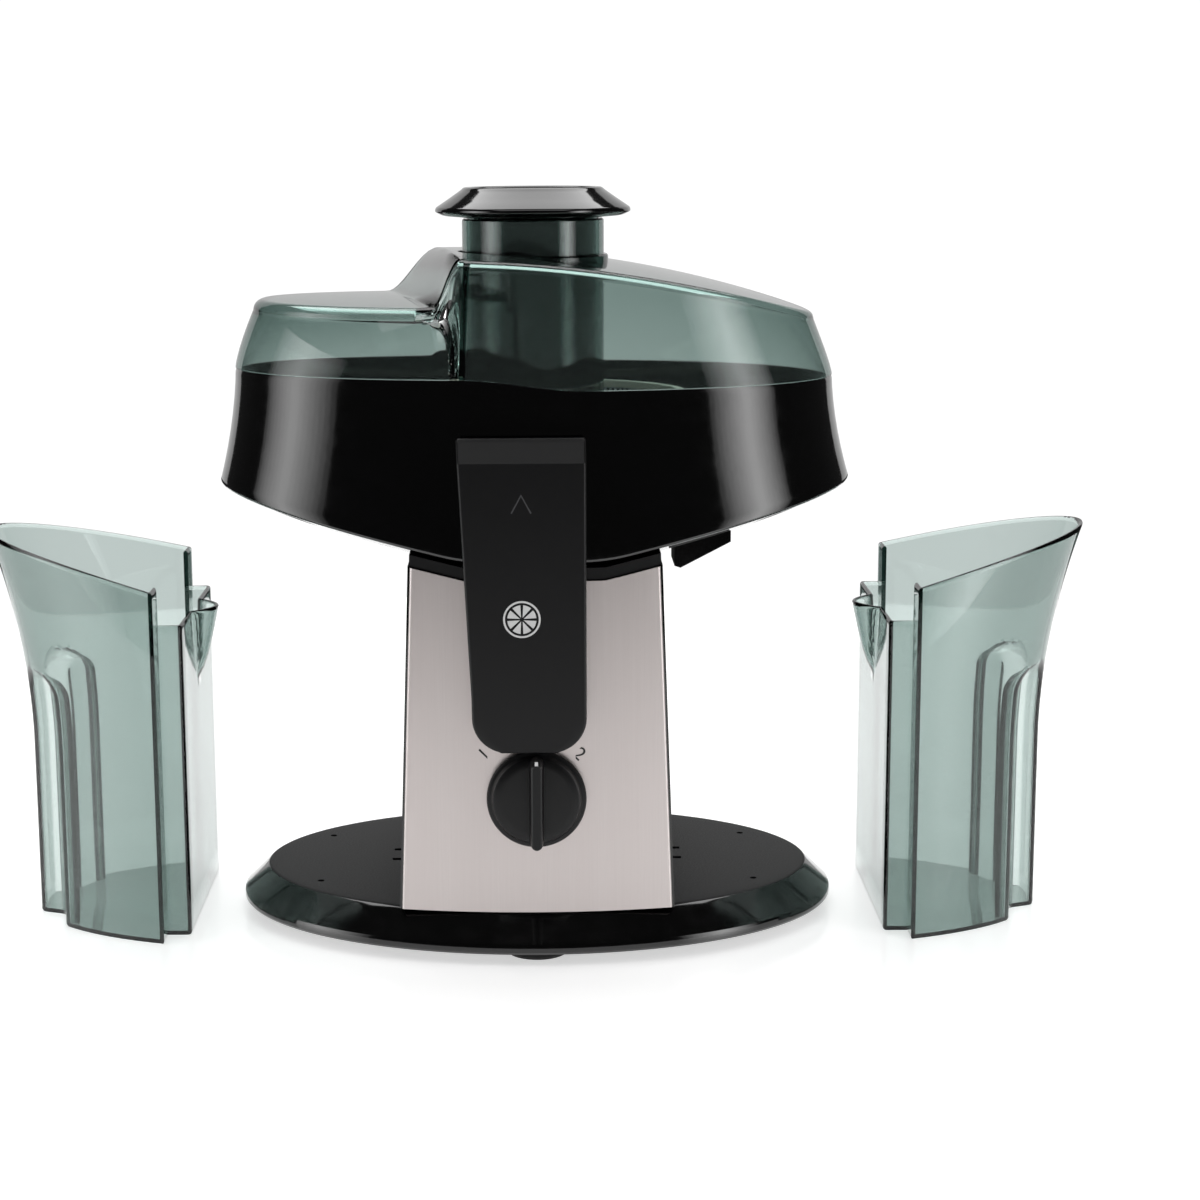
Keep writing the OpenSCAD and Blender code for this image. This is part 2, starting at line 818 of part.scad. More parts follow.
// Everything over the bowl's underside, to trim what stands on its floor
module bowl_core() {
    rotate([90, 0, 0])
        linear_extrude(4 * bowl_b, center = true)
            polygon([
                [-bowl_a, wing_z(bowl_a) + 1], [-wing_flat, bowl_z + 1], [wing_flat, bowl_z + 1],
                [bowl_a, wing_z(bowl_a) + 1], [bowl_a, 2 * rim_z], [-bowl_a, 2 * rim_z]
            ]);
}

// Ledge on the bowl's front that the latch hooks over
module keeper() {
    translate([latch_x, -(bowl_b + keeper_out / 2), keeper_z])
        cube([keeper_w, keeper_out + 2, keeper_h], center = true);
}

module spout_bore() {
    translate([spout_x - 4, spout_y, bowl_z + 12])
        cube([spout_w - 2 * spout_wall, spout_d - 2 * spout_wall, 40], center = true);
}

// The spout hangs under the right wing. Its lower end is cut on a slant.
module juice_spout() color("#0c0c0d") {
    difference() {
        translate([spout_x - spout_w / 2, spout_y + spout_d / 2, 0])
            rotate([90, 0, 0])
                linear_extrude(spout_d)
                    polygon([
                        [0, wing_z(spout_x) - spout_drop], [3, wing_z(spout_x) - spout_drop - 1],
                        [spout_w, wing_z(spout_x) - 5],
                        [spout_w, wing_z(spout_x + spout_w / 2) - gap / 2],
                        [0, wing_z(spout_x - spout_w / 2) - gap / 2]
                    ]);
        translate([spout_x, spout_y, bowl_z])
            cube([spout_w - 2 * spout_wall, spout_d - 2 * spout_wall, 100], center = true);
    }
}

// ---------- rotor ----------

module motor_shaft() color("silver") {
    translate([0, 0, motor_z - 4]) cylinder(r = shaft_r, h = coupling_z + coupling_h - 4 - motor_z, $fn = 64);
}

module on_shaft(z, r, h) {
    translate([0, 0, z]) tube(r, shaft_r, h);
}

module armature_core() color("#8a8d90") {
    difference() {
        on_shaft(stator_z + 1, armature_r, stator_h - 2);
        for (i = [0:11]) {
            rotate([0, 0, 30 * i]) translate([armature_r, 0, stator_z])
                cube([6, 1.6, 3 * stator_h], center = true);
        }
    }
}

module armature_windings() color("#b5652a") {
    on_shaft(stator_z - 6, armature_r - 3, 7);
    on_shaft(stator_z + stator_h - 1, armature_r - 3, 8);
}

module commutator() color("#b87333") {
    on_shaft(brush_z - 6, commutator_r, 12);
}

module cooling_fan() color("#e8e6e0") {
    on_shaft(fan_z, 10, fan_h);
    translate([0, 0, fan_z]) tube(fan_r, 9, 1.6);
    for (i = [0:8]) {
        rotate([0, 0, 40 * i]) translate([9, -0.8, fan_z + 1]) cube([fan_r - 10, 1.6, fan_h - 1]);
    }
}

module drive_coupling() color("#202022") {
    difference() {
        translate([0, 0, coupling_z]) cylinder(r = coupling_r, h = coupling_h, $fn = 64);
        translate([0, 0, coupling_z - 1]) cylinder(r = shaft_r, h = coupling_h - 3, $fn = 64);
    }
}

module basket_hub() color("#e9e6df") {
    difference() {
        translate([0, 0, hub_z + 3.5]) cylinder(r = coupling_r + 6, h = basket_z - hub_z - 3.5, $fn = 64);
        translate([0, 0, hub_z - 1])
            cylinder(r = coupling_r, h = coupling_z + coupling_h - hub_z + 1, $fn = 64);
    }
}

module basket_floor() color("#e9e6df") {
    translate([0, 0, basket_z]) cylinder(r = basket_r, h = 2, $fn = 96);
}

module filter_basket() color("#b9bcbe") {
    rotate_extrude($fn = 96)
        polygon([
            [basket_r, basket_z], [basket_r + basket_wall, basket_z],
            [basket_top_r + basket_wall, basket_top], [basket_top_r, basket_top]
        ]);
}

module basket_rim() color("#e9e6df") {
    translate([0, 0, basket_top]) tube(basket_top_r + 3.5, basket_top_r - 0.5, 4);
}

module grater_disc() color("#c4c7c9") {
    translate([0, 0, basket_z + 2]) cylinder(r = basket_r - 1, h = grater_t, $fn = 96);
    for (ring = [0:4]) {
        for (i = [0:7 + 5 * ring]) {
            rotate([0, 0, i * 360 / (8 + 5 * ring)])
                translate([10 + ring * 10, 0, basket_z + 2 + grater_t])
                    rotate([0, 0, 25]) cube([3, 0.6, 1.6], center = true);
        }
    }
}

// ---------- lid ----------

// Height of the lid's roof at x: the low left lobe, the flank and the falling hood
function hood_z(x) = rim_z + hood_h - roof_curve * pow(max(0, x - peak_x), 2);
function roof_z(x) = mix(rim_z + lobe_h, hood_z(x), smooth((x - flank_x) / (peak_x - flank_x)));

// Scoop in the front wall, between the left lobe and the chute
function scoop(x, y) = y < 0 ? 9 * smooth(1 - abs(x + 43) / 11) : 0;

// One ring of the lid's wall. t runs up the wall from the joint.
function lid_wall_ring(t, inset) =
    let (lean = lid_lean * pow(t, 1.5) + inset)
    [for (p = oval(bowl_a - lean, bowl_b - lean))
        let (
            in_y = scoop(p[0], p[1]) * (1 - t),
            top = roof_z(p[0]) - 5 - inset,
            base = split_z(p[0]) + lid_gap
        )
        [p[0], p[1] + in_y, mix(base, top, t)]];

// One ring of the roof, s times the size of the shoulder
function lid_roof_ring(s, inset) =
    [for (p = oval((bowl_a - lid_lean - inset) * s, (bowl_b - lid_lean - inset) * s))
        [p[0], p[1], roof_z(p[0]) - inset - roof_drop * smooth((s - 0.6) / 0.4) * 4]];

module lid_shell() {
    skin([
        for (s = [0.15, 0.4, 0.65, 0.85, 0.95]) lid_roof_ring(s, lid_wall),
        for (t = [0.95, 0.7, 0.4, 0]) lid_wall_ring(t, lid_wall),
        for (t = [0, 0.3, 0.6, 0.85, 1]) lid_wall_ring(t, 0),
        for (s = [0.97, 0.85, 0.65, 0.4, 0.15]) lid_roof_ring(s, 0)
    ]);
}

module lid() color("#5f7f78", 0.5) {
    difference() {
        union() {
            lid_shell();
            translate([0, 0, chute_bottom]) cylinder(r = chute_out, h = chute_top - chute_bottom, $fn = 96);
            translate([0, 0, collar_top - collar_h])
                cylinder(r = chute_out + collar_out, h = collar_h, $fn = 96);
        }
        translate([0, 0, chute_bottom - 1]) cylinder(r = chute_r, h = chute_top - chute_bottom + 2, $fn = 96);
    }
}

module pusher() color("#0e0e0f") {
    under = chute_top + gap;
    flange_z = under + 4;
    rotate_extrude($fn = 96)
        polygon([
            [0, pusher_bottom], [pusher_r - 1.5, pusher_bottom], [pusher_r, pusher_bottom + 1.5],
            [pusher_r, under], [flange_r - 3, under + 1], [flange_r, flange_z],
            [flange_r - 1, flange_z + 1.2], [flange_r - 8, flange_z + 6.5],
            [pusher_r + 4, pusher_top - 1], [pusher_r + 2.5, pusher_top],
            [pusher_r - pusher_wall + 1, pusher_top], [pusher_r - pusher_wall, pusher_top - 2],
            [pusher_r - pusher_wall - 1, pusher_bottom + 4], [0, pusher_bottom + 4]
        ]);
}

// ---------- dial ----------

module dial_space() {
    translate([0, -dial_back, dial_z]) rotate([90, 0, 0]) children();
}

module dial_knob() color("#0f0f10") {
    dial_space()
        difference() {
            union() {
                cylinder(r = dial_r, h = dial_skirt - 2.5, $fn = 96);
                translate([0, 0, dial_skirt - 2.5]) cylinder(r1 = dial_r, r2 = dial_r - 2, h = 2.5, $fn = 96);
                translate([0, 0, dial_skirt + grip_d / 2 - 0.5])
                    cube([grip_w, 2 * dial_r - 4, grip_d + 1], center = true);
            }
            translate([0, 0, -1]) cylinder(r = 9, h = 4.4, $fn = 48);
            translate([0, 0, -1]) cylinder(r = spindle_r, h = 13, $fn = 48);
            translate([0, dial_r - 6, dial_skirt + grip_d]) cube([1.6, 9, 1.6], center = true);
        }
}

module dial_pointer() color("#e6e6e6") {
    dial_space() translate([0, dial_r - 6, dial_skirt + grip_d - 0.5]) cube([1.6, 9, 0.6], center = true);
}

module switch_spindle() color("silver") {
    translate([0, spindle_back, dial_z]) rotate([90, 0, 0])
        cylinder(r = spindle_r, h = dial_back + 12 - gap + spindle_back, $fn = 48);
}

// ---------- latch ----------

// Outline of the latch from the front: upright on the right, tapering on the left
module latch_outline(inset, cap) {
    right = latch_w / 2 - inset;
    left = -latch_w / 2 + inset;
    low = latch_bottom + inset;
    high = latch_top - inset - cap;
    corner = latch_corner - inset;
    left_x = left + latch_taper + corner;
    right_x = right - corner;
    polygon(concat(
        [[left, high], [left + 0.87 * latch_taper, low + 24]],
        [for (k = [0:6]) let (a = 180 + 15 * k) [left_x + corner * cos(a), low + corner + corner * sin(a)]],
        [for (k = [0:6]) let (a = 270 + 15 * k) [right_x + corner * cos(a), low + corner + corner * sin(a)]],
        [[right, high]]
    ));
}

// The latch from the side: a sloping lip at the top, a small chamfer at the foot
// and a heel cut back so that the foot clears the column as the latch swings
module latch_side() {
    front = -latch_y - latch_d;
    rotate([90, 0, 90])
        linear_extrude(4 * latch_w, center = true)
            polygon([
                [-latch_y - heel, latch_bottom - 1], [-latch_y, latch_bottom + 2 * heel],
                [-latch_y, latch_top + 1], [-latch_y - 3, latch_top + 1],
                [front, latch_top - latch_lip], [front, latch_bottom + 3], [front + 2.5, latch_bottom - 1]
            ]);
}

module latch_arm() color("#101011") {
    lug_front = -latch_y - latch_d + 1;
    lug_back = pivot_y + 4;
    lug_x = ear_x + ear_t / 2 + gap + lug_t / 2;
    difference() {
        intersection() {
            translate([latch_x, -latch_y + 1, 0]) rotate([90, 0, 0])
                linear_extrude(latch_d + 2) latch_outline(0, 0);
            latch_side();
        }
        for (side = [-1, 1]) {
            translate([latch_x + side * ear_x, -latch_y + 1 - (latch_d - latch_wall + 1) / 2, latch_bottom])
                cube([ear_t + 2 * gap, latch_d - latch_wall + 1, 2 * (pivot_z - latch_bottom)], center = true);
        }
        translate([latch_x, -latch_y + 1, 0]) rotate([90, 0, 0])
            linear_extrude(latch_d - latch_wall + 1) latch_outline(latch_wall, latch_cap);
    }
    for (side = [-1, 1]) {
        translate([latch_x + side * lug_x, 0, 0])
            difference() {
                translate([0, (lug_front + lug_back) / 2, pivot_z + 0.5])
                    cube([lug_t, lug_back - lug_front, 2 * (pivot_r + ear_wall) + 2], center = true);
                translate([0, pivot_y, pivot_z]) rotate([0, 90, 0])
                    cylinder(r = pivot_r + running, h = 2 * lug_t, center = true, $fn = 48);
            }
    }
    translate([latch_x, -latch_y - 0.8, plunger_z]) rotate([90, 0, 0])
        cylinder(r = plunger_r + 1.5, h = latch_d - 0.8 - latch_wall + 1, $fn = 32);
}

module latch_hook() color("#3a3a3c") {
    reach = latch_y - bowl_b - keeper_out - 1 + hook_bite;
    translate([latch_x, -latch_y + reach / 2, keeper_z + keeper_h / 2 + gap + hook_t / 2])
        cube([keeper_w - 6, reach, hook_t], center = true);
}

// A plain citrus-slice mark on the latch's face
module latch_emblem() color("#e8e8e8") {
    translate([latch_x, -latch_y - latch_d, (latch_top + latch_bottom) / 2 - 10]) rotate([90, 0, 0]) {
        tube(9, 8, 0.3);
        for (i = [0:5]) {
            rotate([0, 0, 60 * i]) translate([4.2, 0, 0.15]) cube([5, 1, 0.3], center = true);
        }
    }
}

module interlock_plunger() color("#d8d8d8") {
    tip = latch_y + 0.5;
    translate([latch_x, -column_d + 8, plunger_z]) rotate([90, 0, 0])
        cylinder(r = plunger_r, h = tip + 8 - column_d, $fn = 32);
}

// ---------- containers ----------

// Half length of the docked outline at height z
function can_a_at(z) = can_a + can_flare * pow(max(0, z - flare_from) / (rim_far - flare_from), 2);

// How deep a finger groove is at depth y and height z
function groove(y, z) =
    let (
        mid = (groove_in + groove_out) / 2,
        half = (groove_out - groove_in) / 2,
        from_mid = abs(abs(y) - mid) / half,
        arch = groove_top - half * (1 - sqrt(max(0, 1 - pow(min(1, from_mid), 2))))
    )
    groove_d * smooth((1 - from_mid) * 4) * smooth((arch - z) / 5);

// A point of the outer wall. u runs from -1 at the front flange to 1 at the back one.
function can_point(u, z, inset) =
    let (
        a = can_a_at(z),
        x0 = flange_x + inset,
        b = flange_y / sqrt(1 - pow(flange_x / a, 2)),
        end = acos(x0 / (a - inset)),
        x = (a - inset) * cos(u * end),
        y = (b - inset) * sin(u * end)
    )
    [max(x0, x - groove(y, z)), y];

function can_outline(z, inset) = concat(
    [for (i = [0:can_steps]) can_point(2 * i / can_steps - 1, z, inset)],
    [[flange_x + inset, nose_y - inset], [flange_x + inset - 0.2, nose_y - inset],
     [flange_x - nose_d + inset, nose_y - inset], [flange_x - nose_d + inset, -nose_y + inset],
     [flange_x + inset - 0.2, -nose_y + inset], [flange_x + inset, -nose_y + inset]]
);

// Height of the rim over a point of the outline
function can_rim(i, x) =
    i > can_steps + 1 && i < can_steps + 6 ? nose_h : can_h + rim_slope * max(0, x - flange_x);

function can_ring(t, inset) =
    let (foot = inset > 0 ? can_wall : 0)
    [for (i = [0:can_steps + 6])
        let (
            rough = can_outline(can_h, inset)[i],
            z = mix(foot, can_rim(i, rough[0]), t),
            p = can_outline(z, inset)[i]
        )
        [p[0], p[1], z]];

module container_body() {
    ts = [0, 0.2, 0.4, 0.52, 0.58, 0.63, 0.66, 0.7, 0.8, 0.9, 1];
    skin(concat(
        [for (t = ts) can_ring(t, 0)],
        [for (k = [0:len(ts) - 1]) can_ring(ts[len(ts) - 1 - k], can_wall)]
    ));
}

// The pouring beak. Its inside is the same shape, one wall smaller.
module beak(inset) {
    top = nose_h + (inset > 0 ? 1 : 0);
    back = flange_x - nose_d + (inset > 0 ? can_wall + 1 : 0.5);
    tip = flange_x - nose_d - beak_out + 1.5 * inset;
    hull() {
        translate([0, 0, top - 2])
            linear_extrude(2) polygon([
                [back, -beak_y + inset], [back, beak_y - inset], [tip, 1.5], [tip, -1.5]
            ]);
        translate([back - 1, 0, top - beak_h + 3 * inset]) cube([2, 2, 1], center = true);
    }
}

module container() {
    difference() {
        union() {
            container_body();
            beak(0);
        }
        beak(can_wall);
    }
}

module right_container() color("#5f7f78", 0.5) translate([pull_out, 0, 0]) container();

module left_container() color("#5f7f78", 0.5) mirror([1, 0, 0]) translate([pull_out, 0, 0]) container();

base_plate();
bottom_cover();
rubber_feet();
cover_screws();
column_screws();
front_housing();
rear_housing();
left_waist();
right_waist();
front_panel();
dial_marks();
bowl_seat();
shaft_seal();
cord_gland();
terminal_block();
rotary_switch();
switch_nut();
interlock_switch();
latch_bracket();
latch_pin();
latch_spring();
lower_bracket();
upper_bracket();
rubber_dampers();
motor_screws();
motor_stator();
field_coils();
lower_bearing();
upper_bearing();
brush_holders();
carbon_brushes();
brush_springs();
bowl();
juice_spout();
motor_shaft();
armature_core();
armature_windings();
commutator();
cooling_fan();
drive_coupling();
basket_hub();
basket_floor();
filter_basket();
basket_rim();
grater_disc();
lid();
pusher();
dial_knob();
dial_pointer();
switch_spindle();
latch_arm();
latch_hook();
latch_emblem();
interlock_plunger();
left_container();
right_container();
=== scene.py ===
import json
import math
import bmesh
import bpy
from mathutils import Matrix, Vector


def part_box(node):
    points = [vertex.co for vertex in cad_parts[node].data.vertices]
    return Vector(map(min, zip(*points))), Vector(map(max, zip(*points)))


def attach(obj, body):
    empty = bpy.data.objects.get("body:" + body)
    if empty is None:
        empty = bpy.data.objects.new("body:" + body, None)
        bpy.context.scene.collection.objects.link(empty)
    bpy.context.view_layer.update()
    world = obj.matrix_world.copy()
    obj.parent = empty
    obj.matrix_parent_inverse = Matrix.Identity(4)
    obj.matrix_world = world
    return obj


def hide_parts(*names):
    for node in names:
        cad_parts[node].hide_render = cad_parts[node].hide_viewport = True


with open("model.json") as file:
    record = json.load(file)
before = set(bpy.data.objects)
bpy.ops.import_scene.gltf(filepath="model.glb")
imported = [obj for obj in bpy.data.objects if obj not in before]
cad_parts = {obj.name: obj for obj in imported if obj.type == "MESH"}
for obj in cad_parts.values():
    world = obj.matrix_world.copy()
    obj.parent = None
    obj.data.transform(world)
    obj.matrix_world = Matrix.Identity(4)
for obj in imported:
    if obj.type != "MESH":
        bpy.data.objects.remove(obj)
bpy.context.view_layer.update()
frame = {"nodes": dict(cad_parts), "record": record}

MM = 0.001
NODES = frame["nodes"]


# ---------- values taken from the frame, in millimetres ----------

def box_mm(node):
    """Lowest and highest corners of a node at rest."""
    low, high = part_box(node)
    return [v / MM for v in low], [v / MM for v in high]


BOWL_LOW, BOWL_HIGH = box_mm("bowl")
LID_LOW, LID_HIGH = box_mm("lid")
PLATE_LOW, PLATE_HIGH = box_mm("base_plate")
PUSHER_LOW, PUSHER_HIGH = box_mm("pusher")
PANEL_LOW, PANEL_HIGH = box_mm("front_panel")
LATCH_LOW, LATCH_HIGH = box_mm("latch_arm")
DIAL_LOW, DIAL_HIGH = box_mm("dial_knob")
CAN_HIGH = box_mm("right_container")[1]
BASKET_LOW, BASKET_HIGH = box_mm("filter_basket")
EMBLEM_LOW, EMBLEM_HIGH = box_mm("latch_emblem")

# Bowl and lid share one oval
OVAL_POWER = 2.25
LID_A = LID_HIGH[0]
LID_B = LID_HIGH[1]
BOWL_A = BOWL_HIGH[0]
BOWL_B = BOWL_HIGH[1]
WING_FLAT = 34
WING_SLOPE = 0.23
UNDER_Z = BOWL_LOW[2]
BOWL_WALL = 2.8
BOWL_FLOOR = 3
STEP_H = 5.5
STEP_FROM = 25
STEP_TO = -35
RIM_Z = BOWL_HIGH[2] - STEP_H
HUB_R = 14
RING_R = 83
RING_TOP = BASKET_HIGH[2] - 6
PULP_BOX = ((-136, -38), (-100, 38))

LID_WALL = 2.5
LID_GAP = 0.2
LID_LEAN = 13
LOBE_Z = RIM_Z + 40
PEAK_Z = RIM_Z + 63
ROOF_CURVE = 0.0009
HOOD_FRONT_X = -36
ARCH_X = -61.4
ARCH_W = 20.9
SCOOP_D = 11
CHUTE_R = 33
CHUTE_OUT = 36.2
CHUTE_BOTTOM = LID_LOW[2]
CHUTE_TOP = LID_HIGH[2]
COLLAR_OUT = 2.2
COLLAR_TOP = PEAK_Z - 1.5

# Containers, in docked places before they are moved out
CAN_WALL = 2.2
FLANGE_X = 69.5
FLANGE_Y = CAN_HIGH[1]
NOSE_Y = 57.5
NOSE_D = 12
CAN_H = 181
NOSE_H = 162
CAN_A = 145
CAN_FLARE = 21
FLARE_FROM = 90
RIM_SLOPE = 0.267
GROOVE_D = 10
GROOVE_IN = 15
GROOVE_OUT = 42
GROOVE_TOP = 134
BEAK_Y = 19
BEAK_OUT = 11.5
BEAK_H = 38
PULL_OUT = CAN_HIGH[0] - CAN_A - CAN_FLARE


# ---------- small tools ----------

def srgb(code):
    """A linear colour from an sRGB hex value."""
    parts = [int(code[i:i + 2], 16) / 255 for i in (1, 3, 5)]
    return [p / 12.92 if p <= 0.04045 else ((p + 0.055) / 1.055) ** 2.4 for p in parts] + [1]


def smooth(t):
    u = min(1, max(0, t))
    return u * u * (3 - 2 * u)


def mix(a, b, t):
    return a + (b - a) * t


QUARTER = [math.pi / 2 * i / 5 for i in range(6)]


def arc(cx, cy, r, start, end, steps):
    """Points along a circle's arc, angles in degrees."""
    turns = [math.radians(mix(start, end, i / steps)) for i in range(steps + 1)]
    return [(cx + r * math.cos(t), cy + r * math.sin(t)) for t in turns]


def piece(name, verts, faces, body, slot, materials, sharp=32, replaces=(), face_slots=None):
    """A mesh from millimetre points, riding on a body."""
    mesh = bpy.data.meshes.new(name)
    mesh.from_pydata([(x * MM, y * MM, z * MM) for x, y, z in verts], [], faces)
    mesh.update()
    for material in materials:
        mesh.materials.append(material)
    if face_slots:
        for polygon, index in zip(mesh.polygons, face_slots):
            polygon.material_index = index
    obj = bpy.data.objects.new(name, mesh)
    bpy.context.scene.collection.objects.link(obj)
    tidy_mesh(mesh, sharp)
    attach(obj, body)
    if replaces:
        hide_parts(*replaces)
    return obj


def tidy_mesh(mesh, sharp):
    """Welds doubles, turns the faces outwards and marks the creases."""
    bm = bmesh.new()
    bm.from_mesh(mesh)
    bmesh.ops.remove_doubles(bm, verts=bm.verts, dist=0.00001)
    bmesh.ops.recalc_face_normals(bm, faces=bm.faces)
    bm.to_mesh(mesh)
    bm.free()
    mesh.shade_smooth()
    mesh.set_sharp_from_angle(angle=math.radians(sharp))


def loft(rings, closed=False, capped=True):
    """Faces through a stack of equal rings. A closed loft joins the last ring to the first."""
    n = len(rings[0])
    verts = [p for ring in rings for p in ring]
    faces = []
    count = len(rings) if closed else len(rings) - 1
    for i in range(count):
        a = i * n
        b = ((i + 1) % len(rings)) * n
        for j in range(n):
            k = (j + 1) % n
            faces.append((a + j, a + k, b + k, b + j))
    if capped and not closed:
        faces.append(tuple(range(n - 1, -1, -1)))
        faces.append(tuple(range(len(rings) * n - n, len(rings) * n)))
    return verts, faces


def join(*parts):
    """Several vertex and face lists as one."""
    verts, faces = [], []
    for part_verts, part_faces in parts:
        start = len(verts)
        verts += part_verts
        faces += [tuple(start + i for i in face) for face in part_faces]
    return verts, faces


def lathe(profile, steps=128, cx=0, cy=0):
    """Rings of a profile of (radius, height) turned about a vertical axis."""
    return [
        [(cx + r * math.cos(2 * math.pi * j / steps), cy + r * math.sin(2 * math.pi * j / steps), z)
         for j in range(steps)]
        for r, z in profile
    ]


def prism(outline, z0, z1):
    """An upright prism over an outline of (x, y) points."""
    return loft([[(x, y, z0) for x, y in outline], [(x, y, z1) for x, y in outline]])


def rounded_profile(points, radius, steps=4):
    """A polyline of (r, z) points with each inner corner rounded."""
    out = [points[0]]
    for before, here, after in zip(points, points[1:], points[2:]):
        p0, p1, p2 = Vector(before), Vector(here), Vector(after)
        reach = min(radius, (p0 - p1).length * 0.45, (p2 - p1).length * 0.45)
        a = p1 + (p0 - p1).normalized() * reach
        b = p1 + (p2 - p1).normalized() * reach
        for i in range(steps + 1):
            t = i / steps
            out.append(tuple(a * (1 - t) ** 2 + p1 * 2 * t * (1 - t) + b * t ** 2))
    out.append(points[-1])
    return out


def carve(obj, verts, faces):
    """Cuts a solid, given in millimetres, out of a piece."""
    mesh = bpy.data.meshes.new("cutter")
    mesh.from_pydata([(x * MM, y * MM, z * MM) for x, y, z in verts], [], faces)
    cutter = bpy.data.objects.new("cutter", mesh)
    bpy.context.scene.collection.objects.link(cutter)
    tidy_mesh(mesh, 30)
    boolean = obj.modifiers.new("carve", "BOOLEAN")
    boolean.object = cutter
    boolean.solver = "EXACT"
    bpy.context.view_layer.update()
    result = bpy.data.meshes.new_from_object(obj.evaluated_get(bpy.context.evaluated_depsgraph_get()))
    obj.modifiers.clear()
    obj.data = result
    bpy.data.objects.remove(cutter)


# ---------- materials ----------

def add(tree, kind, links=None, values=None, **settings):
    """Adds a shader node with its settings, input values and input links."""
    node = tree.nodes.new(kind)
    for key, value in settings.items():
        setattr(node, key, value)
    for key, value in (values or {}).items():
        node.inputs[key].default_value = value
    for key, source in (links or {}).items():
        tree.links.new(source, node.inputs[key])
    return node


def blank(name):
    """A new material with only its output."""
    material = bpy.data.materials.new(name)
    material.use_nodes = True
    tree = material.node_tree
    tree.nodes.clear()
    output = tree.nodes.new("ShaderNodeOutputMaterial")
    return material, tree, output


def per_mm(size_mm):
    """Scale of a texture in object space whose pattern repeats at a size in millimetres."""
    return 1 / (size_mm * MM)


def textured(name, low, high, rough, grain_mm, bump, stretch=(1, 1, 1), detail=4, **shader):
    """A surface whose colour, roughness and height follow one fine grain and one broad drift."""
    material, tree, output = blank(name)
    place = add(tree, "ShaderNodeTexCoord")
    run = add(tree, "ShaderNodeMapping", {"Vector": place.outputs["Object"]}, {"Scale": stretch})
    grain = add(tree, "ShaderNodeTexNoise", {"Vector": run.outputs["Vector"]},
                {"Scale": per_mm(grain_mm), "Detail": detail})
    drift = add(tree, "ShaderNodeTexNoise", {"Vector": place.outputs["Object"]},
                {"Scale": per_mm(60), "Detail": 2})
    blend = add(tree, "ShaderNodeMath", {0: grain.outputs["Fac"], 1: drift.outputs["Fac"]},
                operation="MULTIPLY")
    colour = add(tree, "ShaderNodeMixRGB", {"Fac": blend.outputs["Value"]},
                 {"Color1": srgb(low), "Color2": srgb(high)})
    rough_map = add(tree, "ShaderNodeMapRange", {"Value": grain.outputs["Fac"]},
                    {"From Min": 0.3, "From Max": 0.7, "To Min": rough[0], "To Max": rough[1]})
    height = add(tree, "ShaderNodeBump", {"Height": grain.outputs["Fac"]},
                 {"Strength": bump, "Distance": grain_mm * MM * 0.3})
    principled = add(tree, "ShaderNodeBsdfPrincipled",
                     {"Base Color": colour.outputs["Color"], "Roughness": rough_map.outputs["Result"],
                      "Normal": height.outputs["Normal"]}, shader)
    tree.links.new(principled.outputs["BSDF"], output.inputs["Surface"])
    return material


def polished_abs():
    """Moulded ABS from a polished tool: deep black, mirror-like with faint long waviness."""
    return textured("polished_black_abs", "#020202", "#050506", (0.07, 0.12), 9, 0.02,
                    detail=2, IOR=1.5, **{"Coat Weight": 0.5, "Coat Roughness": 0.06})


def satin_abs():
    """Moulded ABS from a fine spark-eroded tool: black with a soft, even sheen."""
    return textured("satin_black_abs", "#060607", "#0d0d0f", (0.30, 0.42), 0.6, 0.1, IOR=1.5,
                    **{"Specular IOR Level": 0.3})


def charcoal_abs():
    """Moulded ABS with a leather-fine erosion texture: a dull charcoal top that scatters light."""
    return textured("textured_charcoal_abs", "#0d0d0e", "#1d1d1f", (0.46, 0.62), 0.8, 0.3, IOR=1.5,
                    **{"Specular IOR Level": 0.3})


def grey_abs():
    """Plain moulded ABS in dark grey."""
    return textured("grey_abs", "#38383a", "#4c4c4f", (0.35, 0.5), 0.9, 0.15, IOR=1.54)


def nylon():
    """Natural nylon: milky off-white, faintly waxy."""
    return textured("natural_nylon", "#cfcabd", "#e8e4d8", (0.32, 0.45), 1.2, 0.08, IOR=1.53)


def red_nylon():
    """Moulded nylon in switch red."""
    return textured("red_nylon", "#8c2018", "#b83226", (0.35, 0.5), 1.2, 0.1, IOR=1.53)


def phenolic():
    """Pressed phenolic: brown, with a fine mottle from its filler."""
    return textured("phenolic_resin", "#2e1d12", "#553723", (0.4, 0.6), 0.7, 0.2)


def rubber():
    """Moulded rubber: near black, dull, with a faint bloom."""
    return textured("black_rubber", "#0d0d0d", "#1e1e1e", (0.7, 0.88), 0.7, 0.3, IOR=1.52)


def carbon():
    """Pressed carbon: dark grey and granular."""
    return textured("pressed_carbon", "#141414", "#2a2a2a", (0.5, 0.7), 0.4, 0.4)


